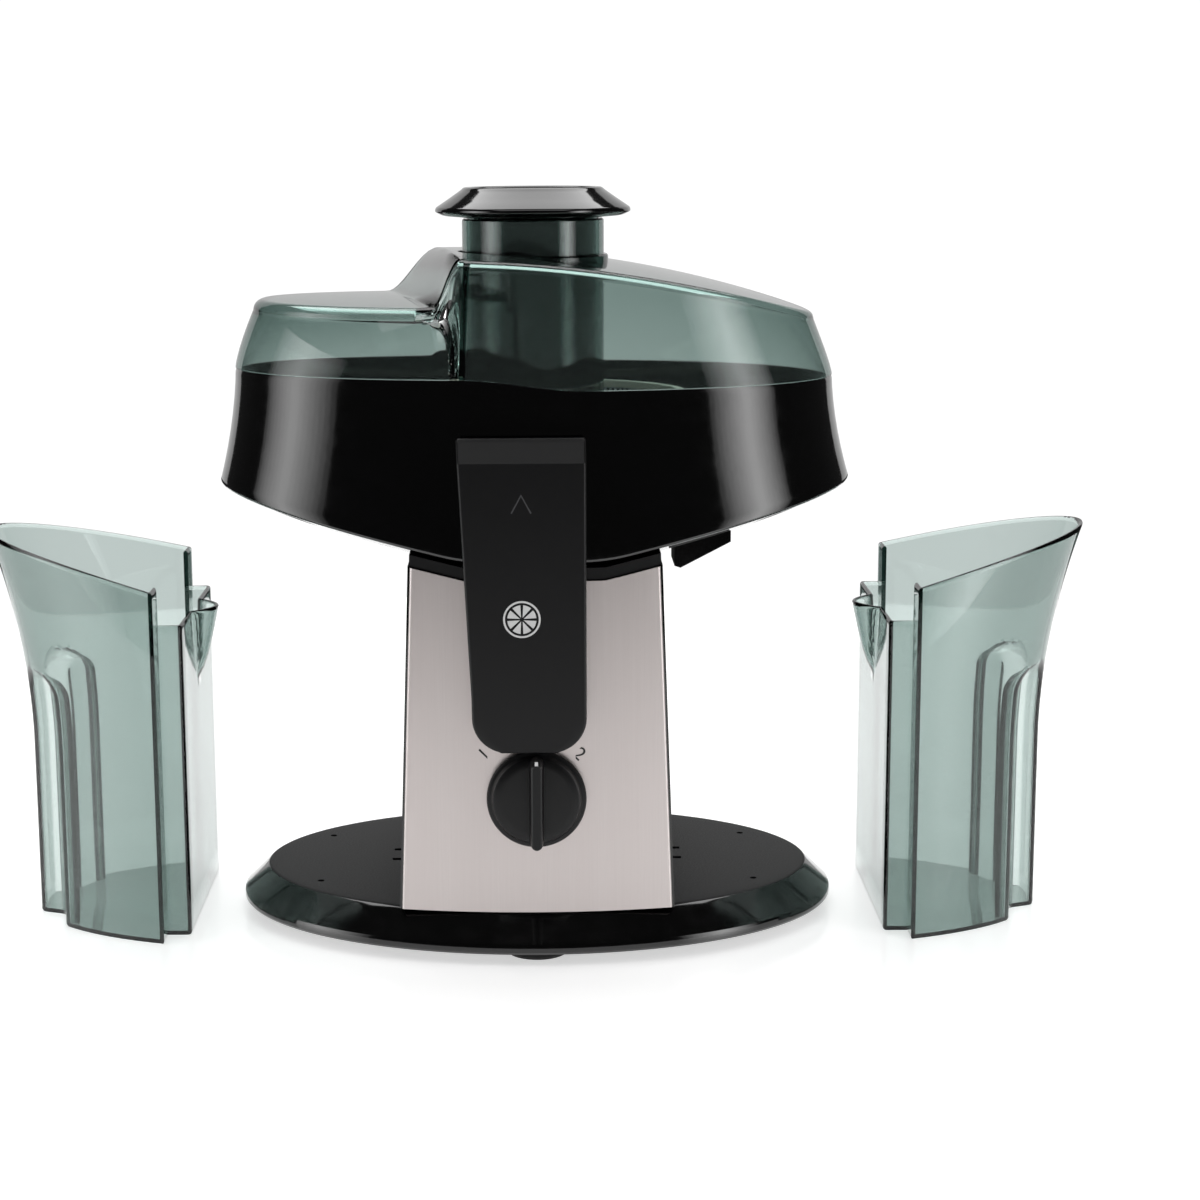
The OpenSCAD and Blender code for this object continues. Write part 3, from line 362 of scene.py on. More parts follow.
def brushed_steel():
    """Stainless sheet brushed up and down: a warm pale grey drawn into fine upright lines.

    Real scratches are about 0.05 mm apart; these are drawn coarser so that they show.
    """
    material, tree, output = blank("brushed_stainless_sheet")
    place = add(tree, "ShaderNodeTexCoord")
    run = add(tree, "ShaderNodeMapping", {"Vector": place.outputs["Object"]}, {"Scale": (1, 1, 0.012)})
    fine = add(tree, "ShaderNodeTexNoise", {"Vector": run.outputs["Vector"]},
               {"Scale": per_mm(0.7), "Detail": 6, "Roughness": 0.75})
    broad = add(tree, "ShaderNodeTexNoise", {"Vector": run.outputs["Vector"]},
                {"Scale": per_mm(14), "Detail": 2})
    tone = add(tree, "ShaderNodeMixRGB", {"Fac": fine.outputs["Fac"]},
               {"Color1": srgb("#c2bab8"), "Color2": srgb("#ded7d5")})
    wash = add(tree, "ShaderNodeMixRGB", {"Fac": broad.outputs["Fac"], "Color1": tone.outputs["Color"]},
               {"Color2": srgb("#cdc4c2")})
    rough_map = add(tree, "ShaderNodeMapRange", {"Value": fine.outputs["Fac"]},
                    {"From Min": 0.3, "From Max": 0.7, "To Min": 0.30, "To Max": 0.44})
    height = add(tree, "ShaderNodeBump", {"Height": fine.outputs["Fac"]},
                 {"Strength": 0.08, "Distance": 0.0001})
    principled = add(tree, "ShaderNodeBsdfPrincipled",
                     {"Base Color": wash.outputs["Color"], "Roughness": rough_map.outputs["Result"],
                      "Normal": height.outputs["Normal"]}, {"Metallic": 0.85})
    tree.links.new(principled.outputs["BSDF"], output.inputs["Surface"])
    return material


def bright_steel():
    """Zinc-plated steel: bright, with fine turning marks."""
    return textured("zinc_plated_steel", "#a8aaad", "#cfd1d3", (0.18, 0.32), 0.5, 0.06, Metallic=1)


def etched_steel():
    """Stainless foil, photo-etched and rolled: pale and slightly rough."""
    return textured("etched_stainless_foil", "#a9acae", "#c9cccd", (0.22, 0.36), 0.8, 0.08, Metallic=1)


def cast_alloy():
    """Die-cast alloy: grey, with a pebbled skin."""
    return textured("die_cast_alloy", "#84888b", "#a4a8aa", (0.38, 0.55), 1.1, 0.35, Metallic=1)


def laminations():
    """A stack of electrical steel sheets: dark grey with level lines between the sheets."""
    return textured("electrical_steel_stack", "#4c4f52", "#74777a", (0.35, 0.55), 1.0, 0.5,
                    stretch=(0.05, 0.05, 1),
                    Metallic=1)


def copper():
    """Enamelled copper wire: amber brown, glossy, in rounds of fine wire."""
    return textured("enamelled_copper", "#6e3515", "#b8622c", (0.2, 0.35), 0.9, 0.6,
                    stretch=(0.1, 0.1, 1), Metallic=0.8)


def white_print():
    """Pad-printed ink: flat pale grey."""
    return textured("pad_printed_white", "#c9c9c9", "#e4e4e4", (0.4, 0.5), 0.5, 0.05)


def dark_print():
    """Screen-printed ink: flat near black."""
    return textured("screen_printed_black", "#141414", "#242424", (0.4, 0.55), 0.5, 0.05)


def smoke_polycarbonate(name, density):
    """Injection-moulded polycarbonate tinted smoke green: clear across its wall, near black seen along it.

    The tint is taken off with depth, as in the real resin. Lamps reach what is inside it.
    """
    material, tree, output = blank(name)
    place = add(tree, "ShaderNodeTexCoord")
    flow = add(tree, "ShaderNodeTexNoise", {"Vector": place.outputs["Object"]},
               {"Scale": per_mm(35), "Detail": 2})
    gloss = add(tree, "ShaderNodeMapRange", {"Value": flow.outputs["Fac"]},
                {"From Min": 0.3, "From Max": 0.7, "To Min": 0.015, "To Max": 0.05})
    wave = add(tree, "ShaderNodeBump", {"Height": flow.outputs["Fac"]}, {"Strength": 0.02, "Distance": 0.001})
    body = add(tree, "ShaderNodeBsdfPrincipled",
               {"Roughness": gloss.outputs["Result"], "Normal": wave.outputs["Normal"]},
               {"Base Color": srgb("#fbfdfc"), "IOR": 1.5, "Transmission Weight": 1.0})
    through = add(tree, "ShaderNodeBsdfTransparent", values={"Color": srgb("#f6faf8")})
    path = add(tree, "ShaderNodeLightPath")
    both = add(tree, "ShaderNodeMixShader",
               {0: path.outputs["Is Shadow Ray"], 1: body.outputs["BSDF"], 2: through.outputs["BSDF"]})
    depth = add(tree, "ShaderNodeVolumeAbsorption", values={"Color": srgb("#1d796d"), "Density": density})
    tree.links.new(both.outputs["Shader"], output.inputs["Surface"])
    tree.links.new(depth.outputs["Volume"], output.inputs["Volume"])
    return material


MATERIALS = {
    "gloss_abs": polished_abs(), "satin_abs": satin_abs(), "charcoal_abs": charcoal_abs(),
    "grey_abs": grey_abs(), "natural_nylon": nylon(), "red_nylon": red_nylon(), "phenolic": phenolic(),
    "rubber": rubber(), "carbon": carbon(), "brushed_panel": brushed_steel(), "bright_steel": bright_steel(),
    "basket_steel": etched_steel(), "cast_alloy": cast_alloy(), "lamination": laminations(),
    "copper_wire": copper(), "white_print": white_print(), "dark_print": dark_print(),
    "smoke_clear": smoke_polycarbonate("smoke_green_polycarbonate", 300),
    "lid_smoke": smoke_polycarbonate("lid_smoke_polycarbonate", 275),
}


def dress_frame():
    """Gives every CAD node the material of its slot."""
    for part in frame["record"]["subparts"]:
        obj = NODES[part["node"]]
        obj.data.materials.clear()
        obj.data.materials.append(MATERIALS[part["material_slot"]])


# ---------- camera, floor and light ----------

def make_camera():
    """A long lens in front, a little above the lid, looking down at the plate."""
    data = bpy.data.cameras.new("camera")
    camera = bpy.data.objects.new("camera", data)
    bpy.context.scene.collection.objects.link(camera)
    camera.location = (0, -1.2645, 0.3995)
    lean = Matrix.Rotation(math.radians(90 - 10.58), 3, "X") @ Matrix.Rotation(math.radians(-0.38), 3, "Z")
    camera.rotation_euler = lean.to_euler()
    data.lens = 73.53
    data.sensor_width = 36
    data.shift_x = 0.0539
    bpy.context.scene.camera = camera


def make_floor():
    """A pale round acrylic table lit a little from below, which the white behind it runs on from."""
    material, tree, output = blank("opal_acrylic")
    place = add(tree, "ShaderNodeTexCoord")
    mottle = add(tree, "ShaderNodeTexNoise", {"Vector": place.outputs["Object"]}, {"Scale": per_mm(300)})
    colour = add(tree, "ShaderNodeMixRGB", {"Fac": mottle.outputs["Fac"]},
                 {"Color1": srgb("#f6f6f6"), "Color2": srgb("#fafafa")})
    principled = add(tree, "ShaderNodeBsdfPrincipled", {"Base Color": colour.outputs["Color"]},
                     {"Roughness": 0.16, "Emission Color": srgb("#ffffff"), "Emission Strength": 0.55})
    tree.links.new(principled.outputs["BSDF"], output.inputs["Surface"])
    radius, steps, middle = 0.9, 96, 0
    verts = [(radius * math.cos(2 * math.pi * i / steps), middle + radius * math.sin(2 * math.pi * i / steps),
              -0.0002) for i in range(steps)]
    mesh = bpy.data.meshes.new("floor")
    mesh.from_pydata(verts, [], [tuple(range(steps))])
    mesh.materials.append(material)
    floor = bpy.data.objects.new("floor", mesh)
    bpy.context.scene.collection.objects.link(floor)


def soft_box(name, at, target, size, radiance, steps=1, seen=True):
    """A rectangular lamp aimed at a point. More steps narrow it inwards, so that its sides fade."""
    for step in range(steps):
        data = bpy.data.lights.new(name, "AREA")
        data.shape = "RECTANGLE"
        data.size = size[0] * (1 - step / steps)
        data.size_y = size[1]
        data.energy = radiance / steps * math.pi * data.size * data.size_y
        lamp = bpy.data.objects.new(name, data)
        lamp.visible_camera = seen
        lamp.visible_transmission = seen
        bpy.context.scene.collection.objects.link(lamp)
        aim = Vector(target) - Vector(at)
        lamp.location = Vector(at) + aim.normalized() * 0.002 * step
        lamp.rotation_euler = aim.to_track_quat("-Z", "Y").to_euler()


def around(azimuth, distance, height):
    """A place at an angle from straight in front, positive to the right."""
    turn = math.radians(azimuth)
    return (distance * math.sin(turn), -distance * math.cos(turn), height)


def make_lights():
    """A white surround and a dark front: upright soft boxes at the sides, two overhead, one behind."""
    world = bpy.data.worlds.new("studio")
    bpy.context.scene.world = world
    world.use_nodes = True
    tree = world.node_tree
    tree.nodes.clear()
    path = add(tree, "ShaderNodeLightPath")
    seen = add(tree, "ShaderNodeMath",
               {0: path.outputs["Is Camera Ray"], 1: path.outputs["Is Transmission Ray"]},
               operation="MAXIMUM")
    strength = add(tree, "ShaderNodeMapRange", {"Value": seen.outputs["Value"]},
                   {"To Min": 0.03, "To Max": 1.05})
    wall = add(tree, "ShaderNodeBackground", {"Strength": strength.outputs["Result"]},
               {"Color": srgb("#ffffff")})
    output = add(tree, "ShaderNodeOutputWorld", {"Surface": wall.outputs["Background"]})
    middle = (0, 0, 0.2)
    soft_box("left_box", around(-72, 1.3, 0.35), middle, (1.0, 1.1), 3.6, 8)
    soft_box("right_box", around(58, 1.3, 0.35), middle, (0.72, 1.1), 4.6, 8)
    soft_box("top_box", (0, 0.75, 1.9), (0, 0.45, 0), (2.4, 1.3), 3.2)
    soft_box("front_top_box", (0, -1.0, 1.9), (0, -0.5, 0), (2.6, 1.0), 1.2)
    soft_box("back_box", (0, 1.75, 0.72), (0, 0, 0.6), (3.4, 1.44), 0.6, seen=False)


# ---------- bowl ----------

def oval_angles():
    """Turns round the oval, with more of them where the lid's front is dished beside the hood."""
    angles = [360 * i / 288 for i in range(288)]
    for k in range(72):
        x = ARCH_X - 1 + 0.42 * k
        c = (-x / LID_A) ** (OVAL_POWER / 2)
        angles.append(360 - math.degrees(math.acos(-c)))
    return sorted(angles)


ANGLES = oval_angles()


def oval_point(a, b, angle):
    c, s = math.cos(math.radians(angle)), math.sin(math.radians(angle))
    return (
        math.copysign(a * abs(c) ** (2 / OVAL_POWER), c),
        math.copysign(b * abs(s) ** (2 / OVAL_POWER), s),
    )


def split_z(x):
    return RIM_Z + STEP_H * smooth((STEP_FROM - x) / (STEP_FROM - STEP_TO))


def wing_z(x):
    """Height of the bowl's underside, with the fold at the flat middle eased."""
    over = abs(x) - WING_FLAT
    ease = 12
    if over < -ease:
        return UNDER_Z
    if over > ease:
        return UNDER_Z + WING_SLOPE * over
    return UNDER_Z + WING_SLOPE * (over + ease) ** 2 / (4 * ease)


def bowl_wall_ring(t, inset):
    swell = (1 - t) ** 1.6
    a = LID_A + (BOWL_A - LID_A) * swell - inset
    b = LID_B + (BOWL_B - LID_B) * swell - inset
    lift = BOWL_FLOOR if inset else 0
    ring = []
    for angle in ANGLES:
        x, y = oval_point(a, b, angle)
        ring.append((x, y, mix(wing_z(x) + 4 + lift, split_z(x), t)))
    return ring


def floor_ring(shrink, inset, lift):
    """A ring of the underside, a distance in from the lower edge."""
    ring = []
    for angle in ANGLES:
        x, y = oval_point(BOWL_A - inset - shrink * (BOWL_A / BOWL_B), BOWL_B - inset - shrink, angle)
        ring.append((x, y, wing_z(x) + lift))
    return ring


def make_bowl():
    soft = 1.6
    edge = [(soft * (1 - math.sin(t)), 4 - soft * math.cos(t)) for t in QUARTER]
    rings = [floor_ring(s, 0, 0) for s in (78, 60, 40, 20, 8)]
    rings += [floor_ring(shrink, 0, lift) for shrink, lift in edge]
    rings += [bowl_wall_ring(t, 0) for t in (0.06, 0.15, 0.3, 0.45, 0.6, 0.75, 0.88, 0.97)]
    rings += [bowl_wall_ring(1, inset) for inset in (0.5, BOWL_WALL)]
    rings += [bowl_wall_ring(t, BOWL_WALL) for t in (0.85, 0.6, 0.35, 0.15, 0.04)]
    rings += [floor_ring(s, BOWL_WALL, BOWL_FLOOR) for s in (4, 20, 40, 60, 78)]
    keeper_low, keeper_high = box_mm("latch_hook")
    kx = (keeper_low[0] + keeper_high[0]) / 2
    keeper = prism([(kx - 12, -BOWL_B - 0.9), (kx + 12, -BOWL_B - 0.9), (kx + 12, -LID_B), (kx - 12, -LID_B)],
                   keeper_low[2] - 5.3, keeper_low[2] - 0.3)
    ring_wall = loft(lathe([
        (RING_R, UNDER_Z + BOWL_FLOOR), (RING_R, RING_TOP - 0.6), (RING_R + 0.6, RING_TOP),
        (RING_R + BOWL_WALL - 0.6, RING_TOP), (RING_R + BOWL_WALL, RING_TOP - 0.6),
        (RING_R + BOWL_WALL, UNDER_Z + BOWL_FLOOR)], 144), closed=True)
    collar = loft(lathe([
        (HUB_R, UNDER_Z + 1), (HUB_R, UNDER_Z + 14), (HUB_R + 2.4, UNDER_Z + 14),
        (HUB_R + 2.4, UNDER_Z + 1)], 96),
        closed=True)
    verts, faces = loft(rings)
    bowl = piece("bowl_moulding", verts, faces, "base", "gloss_abs", [MATERIALS["gloss_abs"]], 40, ["bowl"])
    (x0, y0), (x1, y1) = PULP_BOX
    carve(bowl, *prism([(x0, y0), (x1, y0), (x1, y1), (x0, y1)], UNDER_Z - 5, UNDER_Z + 50))
    carve(bowl, *prism(arc(0, 0, HUB_R, 0, 360 - 5, 71), UNDER_Z - 5, UNDER_Z + 12))
    spout_low, spout_high = box_mm("juice_spout")
    carve(bowl, *prism([
        (spout_low[0], spout_low[1] + 2), (spout_high[0] - 6, spout_low[1] + 2),
        (spout_high[0] - 6, spout_high[1] - 2), (spout_low[0], spout_high[1] - 2)],
        UNDER_Z - 5, UNDER_Z + 30))
    bowl.data.shade_smooth()
    bowl.data.set_sharp_from_angle(angle=math.radians(35))
    inner_verts, inner_faces = join(keeper, ring_wall, collar)
    piece("bowl_inner_walls", inner_verts, inner_faces, "base", "gloss_abs", [MATERIALS["gloss_abs"]], 40)


# ---------- lid ----------

def flank_foot(y):
    return -64 - 0.21 * y


def flank_width(y):
    return max(8, 21 + 0.1 * y)


def roof_z(x, y):
    """Height of the lid's roof: the low lobe, the flank and the falling hood."""
    hood = PEAK_Z - ROOF_CURVE * max(0, x + 45) ** 2
    crown = 1.5 * (1 - (y / LID_B) ** 2)
    lobe = LOBE_Z + crown - 1.5
    return mix(lobe, hood + crown - 1.5, smooth((x - flank_foot(y)) / flank_width(y)))


def scoop(x, t):
    """How far the front wall is dished in, from an arched fold to the hood's upright front edge."""
    start = ARCH_X + ARCH_W * math.sqrt(1 - t * t)
    if x < start or x > HOOD_FRONT_X - 0.3:
        return 0
    return SCOOP_D * math.sin(math.pi / 2 * min(1, (x - start) / (HOOD_FRONT_X - 3 - start)))


def lid_fillet(x):
    """Radius of the rounded edge between wall and roof: a little wider on the lobe than on the hood."""
    return mix(5.5, 4.5, smooth((x + 60) / 25))


def lid_point(angle, t, turn, inset):
    """A point of the wall at height share t, or past it, of its rounded top edge at turn degrees."""
    lean = LID_LEAN * 0.75 * t ** 1.3 + inset
    x, y = oval_point(LID_A - lean, LID_B - lean, angle)
    r = lid_fillet(x)
    in_x, in_y = oval_point(LID_A - lean - r, LID_B - lean - r, angle)
    top = roof_z(in_x, in_y) - inset
    share = 1 - math.cos(math.radians(turn))
    rise = math.sin(math.radians(turn))
    px, py = mix(x, in_x, share), mix(y, in_y, share)
    base = split_z(x) + LID_GAP
    shoulder = top - r
    z = mix(base, shoulder, t) + r * rise
    foot_x, foot_y = oval_point(LID_A, LID_B, angle)
    dish = scoop(foot_x - inset, t) if foot_y < 0 else 0
    return (px, py + dish, z)


def lid_roof_point(angle, s, inset):
    """A point of the roof. s is 1 at the rounded edge and 0 at the chute."""
    edge_x, edge_y, _ = lid_point(angle, 1, 90, inset)
    c, sn = math.cos(math.radians(angle)), math.sin(math.radians(angle))
    x = mix(CHUTE_OUT * c, edge_x, s)
    y = mix(CHUTE_OUT * sn, edge_y, s)
    return (x, y, roof_z(x, y) - inset)


def make_lid():
    wall = [(k / 56, 0) for k in range(57)]
    edge = [(1, turn) for turn in range(10, 91, 10)]
    spans = [1 - k / 44 for k in range(1, 45)]
    outer = [[lid_point(a, t, turn, 0) for a in ANGLES] for t, turn in wall + edge]
    outer += [[lid_roof_point(a, s, 0) for a in ANGLES] for s in spans]
    inner = [[lid_roof_point(a, s, LID_WALL) for a in ANGLES] for s in reversed(spans)]
    inner += [[lid_point(a, t, turn, LID_WALL) for a in ANGLES] for t, turn in reversed(wall + edge)]

    def circle(r, z):
        return [(r * math.cos(math.radians(a)), r * math.sin(math.radians(a)), z) for a in ANGLES]

    collar_r = CHUTE_OUT + COLLAR_OUT
    chute = [
        circle(collar_r, COLLAR_TOP - 3), circle(collar_r, COLLAR_TOP - 0.8),
        circle(collar_r - 0.8, COLLAR_TOP),
        circle(CHUTE_OUT, COLLAR_TOP), circle(CHUTE_OUT, CHUTE_TOP - 0.8), circle(CHUTE_OUT - 0.8, CHUTE_TOP),
        circle(CHUTE_R + 0.8, CHUTE_TOP), circle(CHUTE_R, CHUTE_TOP - 0.8), circle(CHUTE_R, CHUTE_BOTTOM),
        circle(CHUTE_OUT, CHUTE_BOTTOM)]
    collar_foot = [[(x * collar_r / CHUTE_OUT, y * collar_r / CHUTE_OUT, z) for x, y, z in outer[-1]]]
    verts, faces = loft(outer[:-1] + collar_foot + chute + inner, closed=True)
    piece("lid_moulding", verts, faces, "lid", "smoke_clear", [MATERIALS["lid_smoke"]], 38, ["lid"])


# ---------- containers ----------

def can_a_at(z):
    far = CAN_H + RIM_SLOPE * (CAN_A + CAN_FLARE - FLANGE_X)
    return CAN_A + CAN_FLARE * (max(0, z - FLARE_FROM) / (far - FLARE_FROM)) ** 2


def groove(y, z):
    """Depth of the two finger grooves, flutes with round tops."""
    mid, half = (GROOVE_IN + GROOVE_OUT) / 2, (GROOVE_OUT - GROOVE_IN) / 2
    across = abs(abs(y) - mid)
    above = max(0, z - GROOVE_TOP + half)
    inside = half - math.hypot(across, above)
    return GROOVE_D * smooth(inside / 6.5)


def can_shell_point(u, z, inset):
    a = can_a_at(z)
    b = FLANGE_Y / math.sqrt(1 - (FLANGE_X / a) ** 2)
    x0 = FLANGE_X + inset
    end = math.acos(x0 / (a - inset))
    x, y = (a - inset) * math.cos(u * end), (b - inset) * math.sin(u * end)
    return max(x0, x - groove(y, z)), y


def beak(y, z):
    """How far the pouring beak stands out of the nose's flat face."""
    share = max(0, (z - NOSE_H + BEAK_H) / BEAK_H)
    if share == 0:
        return 0
    off = min(1, abs(y) / (BEAK_Y * share ** 0.6))
    return BEAK_OUT * share ** 0.65 * (1 - off ** 2) ** 1.2


def can_outline(z, inset):
    """The whole docked outline at one height, front flange to back flange and round the nose."""
    count = 220
    points = [can_shell_point(2 * i / count - 1, z, inset) + ("shell",) for i in range(count + 1)]
    for k in range(1, 4):
        points.append((FLANGE_X + inset, mix(FLANGE_Y - inset, NOSE_Y - inset, k / 4), "flange"))
    back = FLANGE_X - NOSE_D + inset
    y1 = NOSE_Y - inset
    corner = max(0.4, 2.5 - inset)
    points.append((FLANGE_X + inset, y1, "flange"))
    points.append((FLANGE_X + inset - 0.15, y1, "nose"))
    points += [(x, y, "nose") for x, y in arc(back + corner, y1 - corner, corner, 90, 180, 5)]
    ys = [y1 - corner - 8, 30, 24] + [20 - i for i in range(0, 41)] + [-24, -30, -(y1 - corner - 8)]
    points += [(back - beak(y, z), y, "nose") for y in ys]
    points += [(x, y, "nose") for x, y in arc(back + corner, -y1 + corner, corner, 180, 270, 5)]
    points.append((FLANGE_X + inset - 0.15, -y1, "nose"))
    points.append((FLANGE_X + inset, -y1, "flange"))
    for k in range(1, 4):
        points.append((FLANGE_X + inset, mix(-NOSE_Y + inset, -FLANGE_Y + inset, k / 4), "flange"))
    return points


def can_ring(t, inset):
    foot = CAN_WALL if inset else 0
    base = can_outline(CAN_H, inset)
    rims = [NOSE_H if kind == "nose" else CAN_H + RIM_SLOPE * max(0, x - FLANGE_X) for x, _, kind in base]
    heights = sorted(set(rims))
    outlines = {}
    ring = []
    for i, rim in enumerate(rims):
        z = mix(foot, rim, t)
        key = round(z, 1)
        if key not in outlines:
            outlines[key] = can_outline(key, inset)
        x, y, _ = outlines[key][i]
        ring.append((x, y, z))
    return ring


def make_container(side, name):
    levels = [0, 0.006, 0.1, 0.2, 0.3, 0.4, 0.47] + [0.49 + 0.009 * i for i in range(28)] + [
        0.76, 0.8, 0.84, 0.88, 0.92, 0.96, 0.985, 0.995]
    outer = [can_ring(t, 0.6 if t == 0 else 0) for t in levels]
    top = [can_ring(1, 0.6), can_ring(1, CAN_WALL - 0.6)]
    inner = [can_ring(t, CAN_WALL) for t in reversed(levels)]
    outer[0] = [(x, y, 0) for x, y, z in outer[0]]
    rings = [[(side * (x + PULL_OUT), y, z) for x, y, z in ring] for ring in outer + top + inner]
    verts, faces = loft(rings)
    piece(name + "_moulding", verts, faces, name, "smoke_clear", [MATERIALS["smoke_clear"]], 38, [name])


# ---------- base, column front, latch, dial, pusher, basket ----------

PANEL_RADIUS = 334
PLATE_SKIN = 3
DRAIN_X, DRAIN_Y, DRAIN_R = 112, 42, 1.8
SLOT_X, SLOT_YS = 73, (-4, 14)
BOSS_X, BOSS_Y, BOSS_R, BOSS_BORE = 88, 52, 5, 1.6
LATCH_CORNER, LATCH_TAPER = 17, 6.5
LATCH_D, LATCH_LIP, LATCH_CAP, LATCH_WALL = 12, 11, 15, 2.5


def make_plate():
    """The plate's textured top, its polished sloping rim and its hollow underside."""
    a, b, z0, z1 = PLATE_HIGH[0], PLATE_HIGH[1], PLATE_LOW[2], PLATE_HIGH[2]
    top_a, top_b = a - 14, b - 16
    steps = 192

    def ellipse_ring(ea, eb, z):
        return [(ea * math.cos(2 * math.pi * i / steps), eb * math.sin(2 * math.pi * i / steps), z)
                for i in range(steps)]

    rows = [(a - 2, z0), (a - 0.7, z0 + 0.4), (a, z0 + 1.5), (a, z0 + 4), (a - 0.5, z0 + 5.6),
            (a - 2, z0 + 7)]
    rows += [(mix(a - 2, top_a + 2.2, i / 6), mix(z0 + 7, z1 - 1.6, i / 6)) for i in range(1, 7)]
    rows += [(top_a + 1.4, z1 - 0.9), (top_a + 0.9, z1 - 0.5)]
    rim_count = len(rows)
    rows += [(top_a + 0.2, z1 - 0.1), (top_a - 0.8, z1), (top_a - 6, z1)]
    under = [(top_a - PLATE_SKIN, z1 - PLATE_SKIN), (top_a - PLATE_SKIN, z0)]
    rings = [ellipse_ring(e, b - (a - e) * (b - top_b) / (a - top_a), z) for e, z in rows]
    inside = [ellipse_ring(e, top_b - (top_a - e), z) for e, z in under]
    middle = [[(0.02 * x, 0.02 * y, z1) for x, y, _ in rings[-1]],
              [(0.02 * x, 0.02 * y, z1 - PLATE_SKIN) for x, y, _ in inside[0]]]
    verts, faces = loft(rings + middle + inside, closed=True)
    slots = [1 if i // steps < rim_count - 1 or i // steps > rim_count + 2 else 0 for i in range(len(faces))]
    plate = piece("base_plate_moulding", verts, faces, "base", "charcoal_abs",
                  [MATERIALS["charcoal_abs"], MATERIALS["gloss_abs"]], 30, ["base_plate"], slots)
    for sx in (-1, 1):
        for sy in (-1, 1):
            hole = [(sx * DRAIN_X + x, sy * DRAIN_Y + y) for x, y in arc(0, 0, DRAIN_R, 0, 345, 23)]
            carve(plate, *prism(hole, z1 - 5, z1 + 2))
        for y in SLOT_YS:
            x0, x1 = sx * SLOT_X - 4, sx * SLOT_X + 4
            carve(plate, *prism([(x0, y - 2), (x1, y - 2), (x1, y + 2), (x0, y + 2)], z1 - 1.5, z1 + 2))
    plate.data.shade_smooth()
    plate.data.set_sharp_from_angle(angle=math.radians(30))
    bosses = []
    for sx in (-1, 1):
        for sy in (-1, 1):
            low, high = z0 + PLATE_SKIN, z1 - PLATE_SKIN
            wall = [(BOSS_R, high), (BOSS_R, low), (BOSS_BORE, low), (BOSS_BORE, high)]
            bosses.append(loft(lathe(wall, 32, sx * BOSS_X, sy * BOSS_Y), closed=True))
    piece("plate_bosses", *join(*bosses), "base", "charcoal_abs", [MATERIALS["charcoal_abs"]])


def front_y(x, depth, radius=PANEL_RADIUS):
    """Depth of the panel's curved face at x."""
    return -(depth - (radius - math.sqrt(radius ** 2 - x * x)))


def make_panel():
    """The steel sheet: curved in plan, narrower at the top, its long edges rolled back."""
    depth = -PANEL_LOW[1]
    z0, z1 = PANEL_LOW[2], PANEL_HIGH[2]
    w0 = PANEL_HIGH[0]
    w1 = w0 - 6.5
    roll = 1.6
    columns = [i / 24 for i in range(-24, 25)]

    def row(z):
        w = mix(w0, w1, (z - z0) / (z1 - z0)) - roll
        face = [(u * w, front_y(u * w, depth)) for u in columns]
        left = [(-w - roll * math.sin(t), front_y(w, depth) + roll * (1 - math.cos(t)))
                for t in [math.pi / 2 * k / 5 for k in range(5, 0, -1)]]
        right = [(-x, y) for x, y in reversed(left)]
        tail = front_y(w, depth) + 3
        return [(-w - roll, tail)] + left + face + right + [(w + roll, tail)]

    def top_of(x):
        return z1 - WING_SLOPE * (w1 - max(WING_FLAT, abs(x)))

    levels = 24
    front = []
    for i in range(levels + 1):
        z = mix(z0, z1, i / levels)
        front.append([(x, y, min(z, mix(z0, top_of(x), i / levels))) for x, y in row(z)])
    back = [[(x * 0.993, y + 0.7, z) for x, y, z in line] for line in front]
    verts = [p for line in front + back for p in line]
    n, m = len(front[0]), levels + 1
    faces = []
    for i in range(levels):
        for j in range(n - 1):
            faces.append((i * n + j, i * n + j + 1, (i + 1) * n + j + 1, (i + 1) * n + j))
            a = m * n
            faces.append((a + i * n + j, a + (i + 1) * n + j, a + (i + 1) * n + j + 1, a + i * n + j + 1))
    a = m * n
    for j in range(n - 1):
        faces.append((j, a + j, a + j + 1, j + 1))
        top = levels * n
        faces.append((top + j, top + j + 1, a + top + j + 1, a + top + j))
    for i in range(levels):
        faces.append((i * n, (i + 1) * n, a + (i + 1) * n, a + i * n))
        end = n - 1
        faces.append((i * n + end, a + i * n + end, a + (i + 1) * n + end, (i + 1) * n + end))
    piece("front_panel_sheet", verts, faces, "base", "brushed_panel", [MATERIALS["brushed_panel"]], 50,
          ["front_panel"])


def latch_sides(z):
    """Left and right edges of the latch at a height: upright right side, tapering left side, round foot."""
    left, right = LATCH_LOW[0], LATCH_HIGH[0]
    low, high = LATCH_LOW[2], LATCH_HIGH[2]
    share = min(1, max(0, (high - z) / (high - low - 24)))
    into = max(0, low + LATCH_CORNER - z)
    cut = LATCH_CORNER - math.sqrt(max(0, LATCH_CORNER ** 2 - into ** 2))
    return left + LATCH_TAPER * share + cut, right - cut


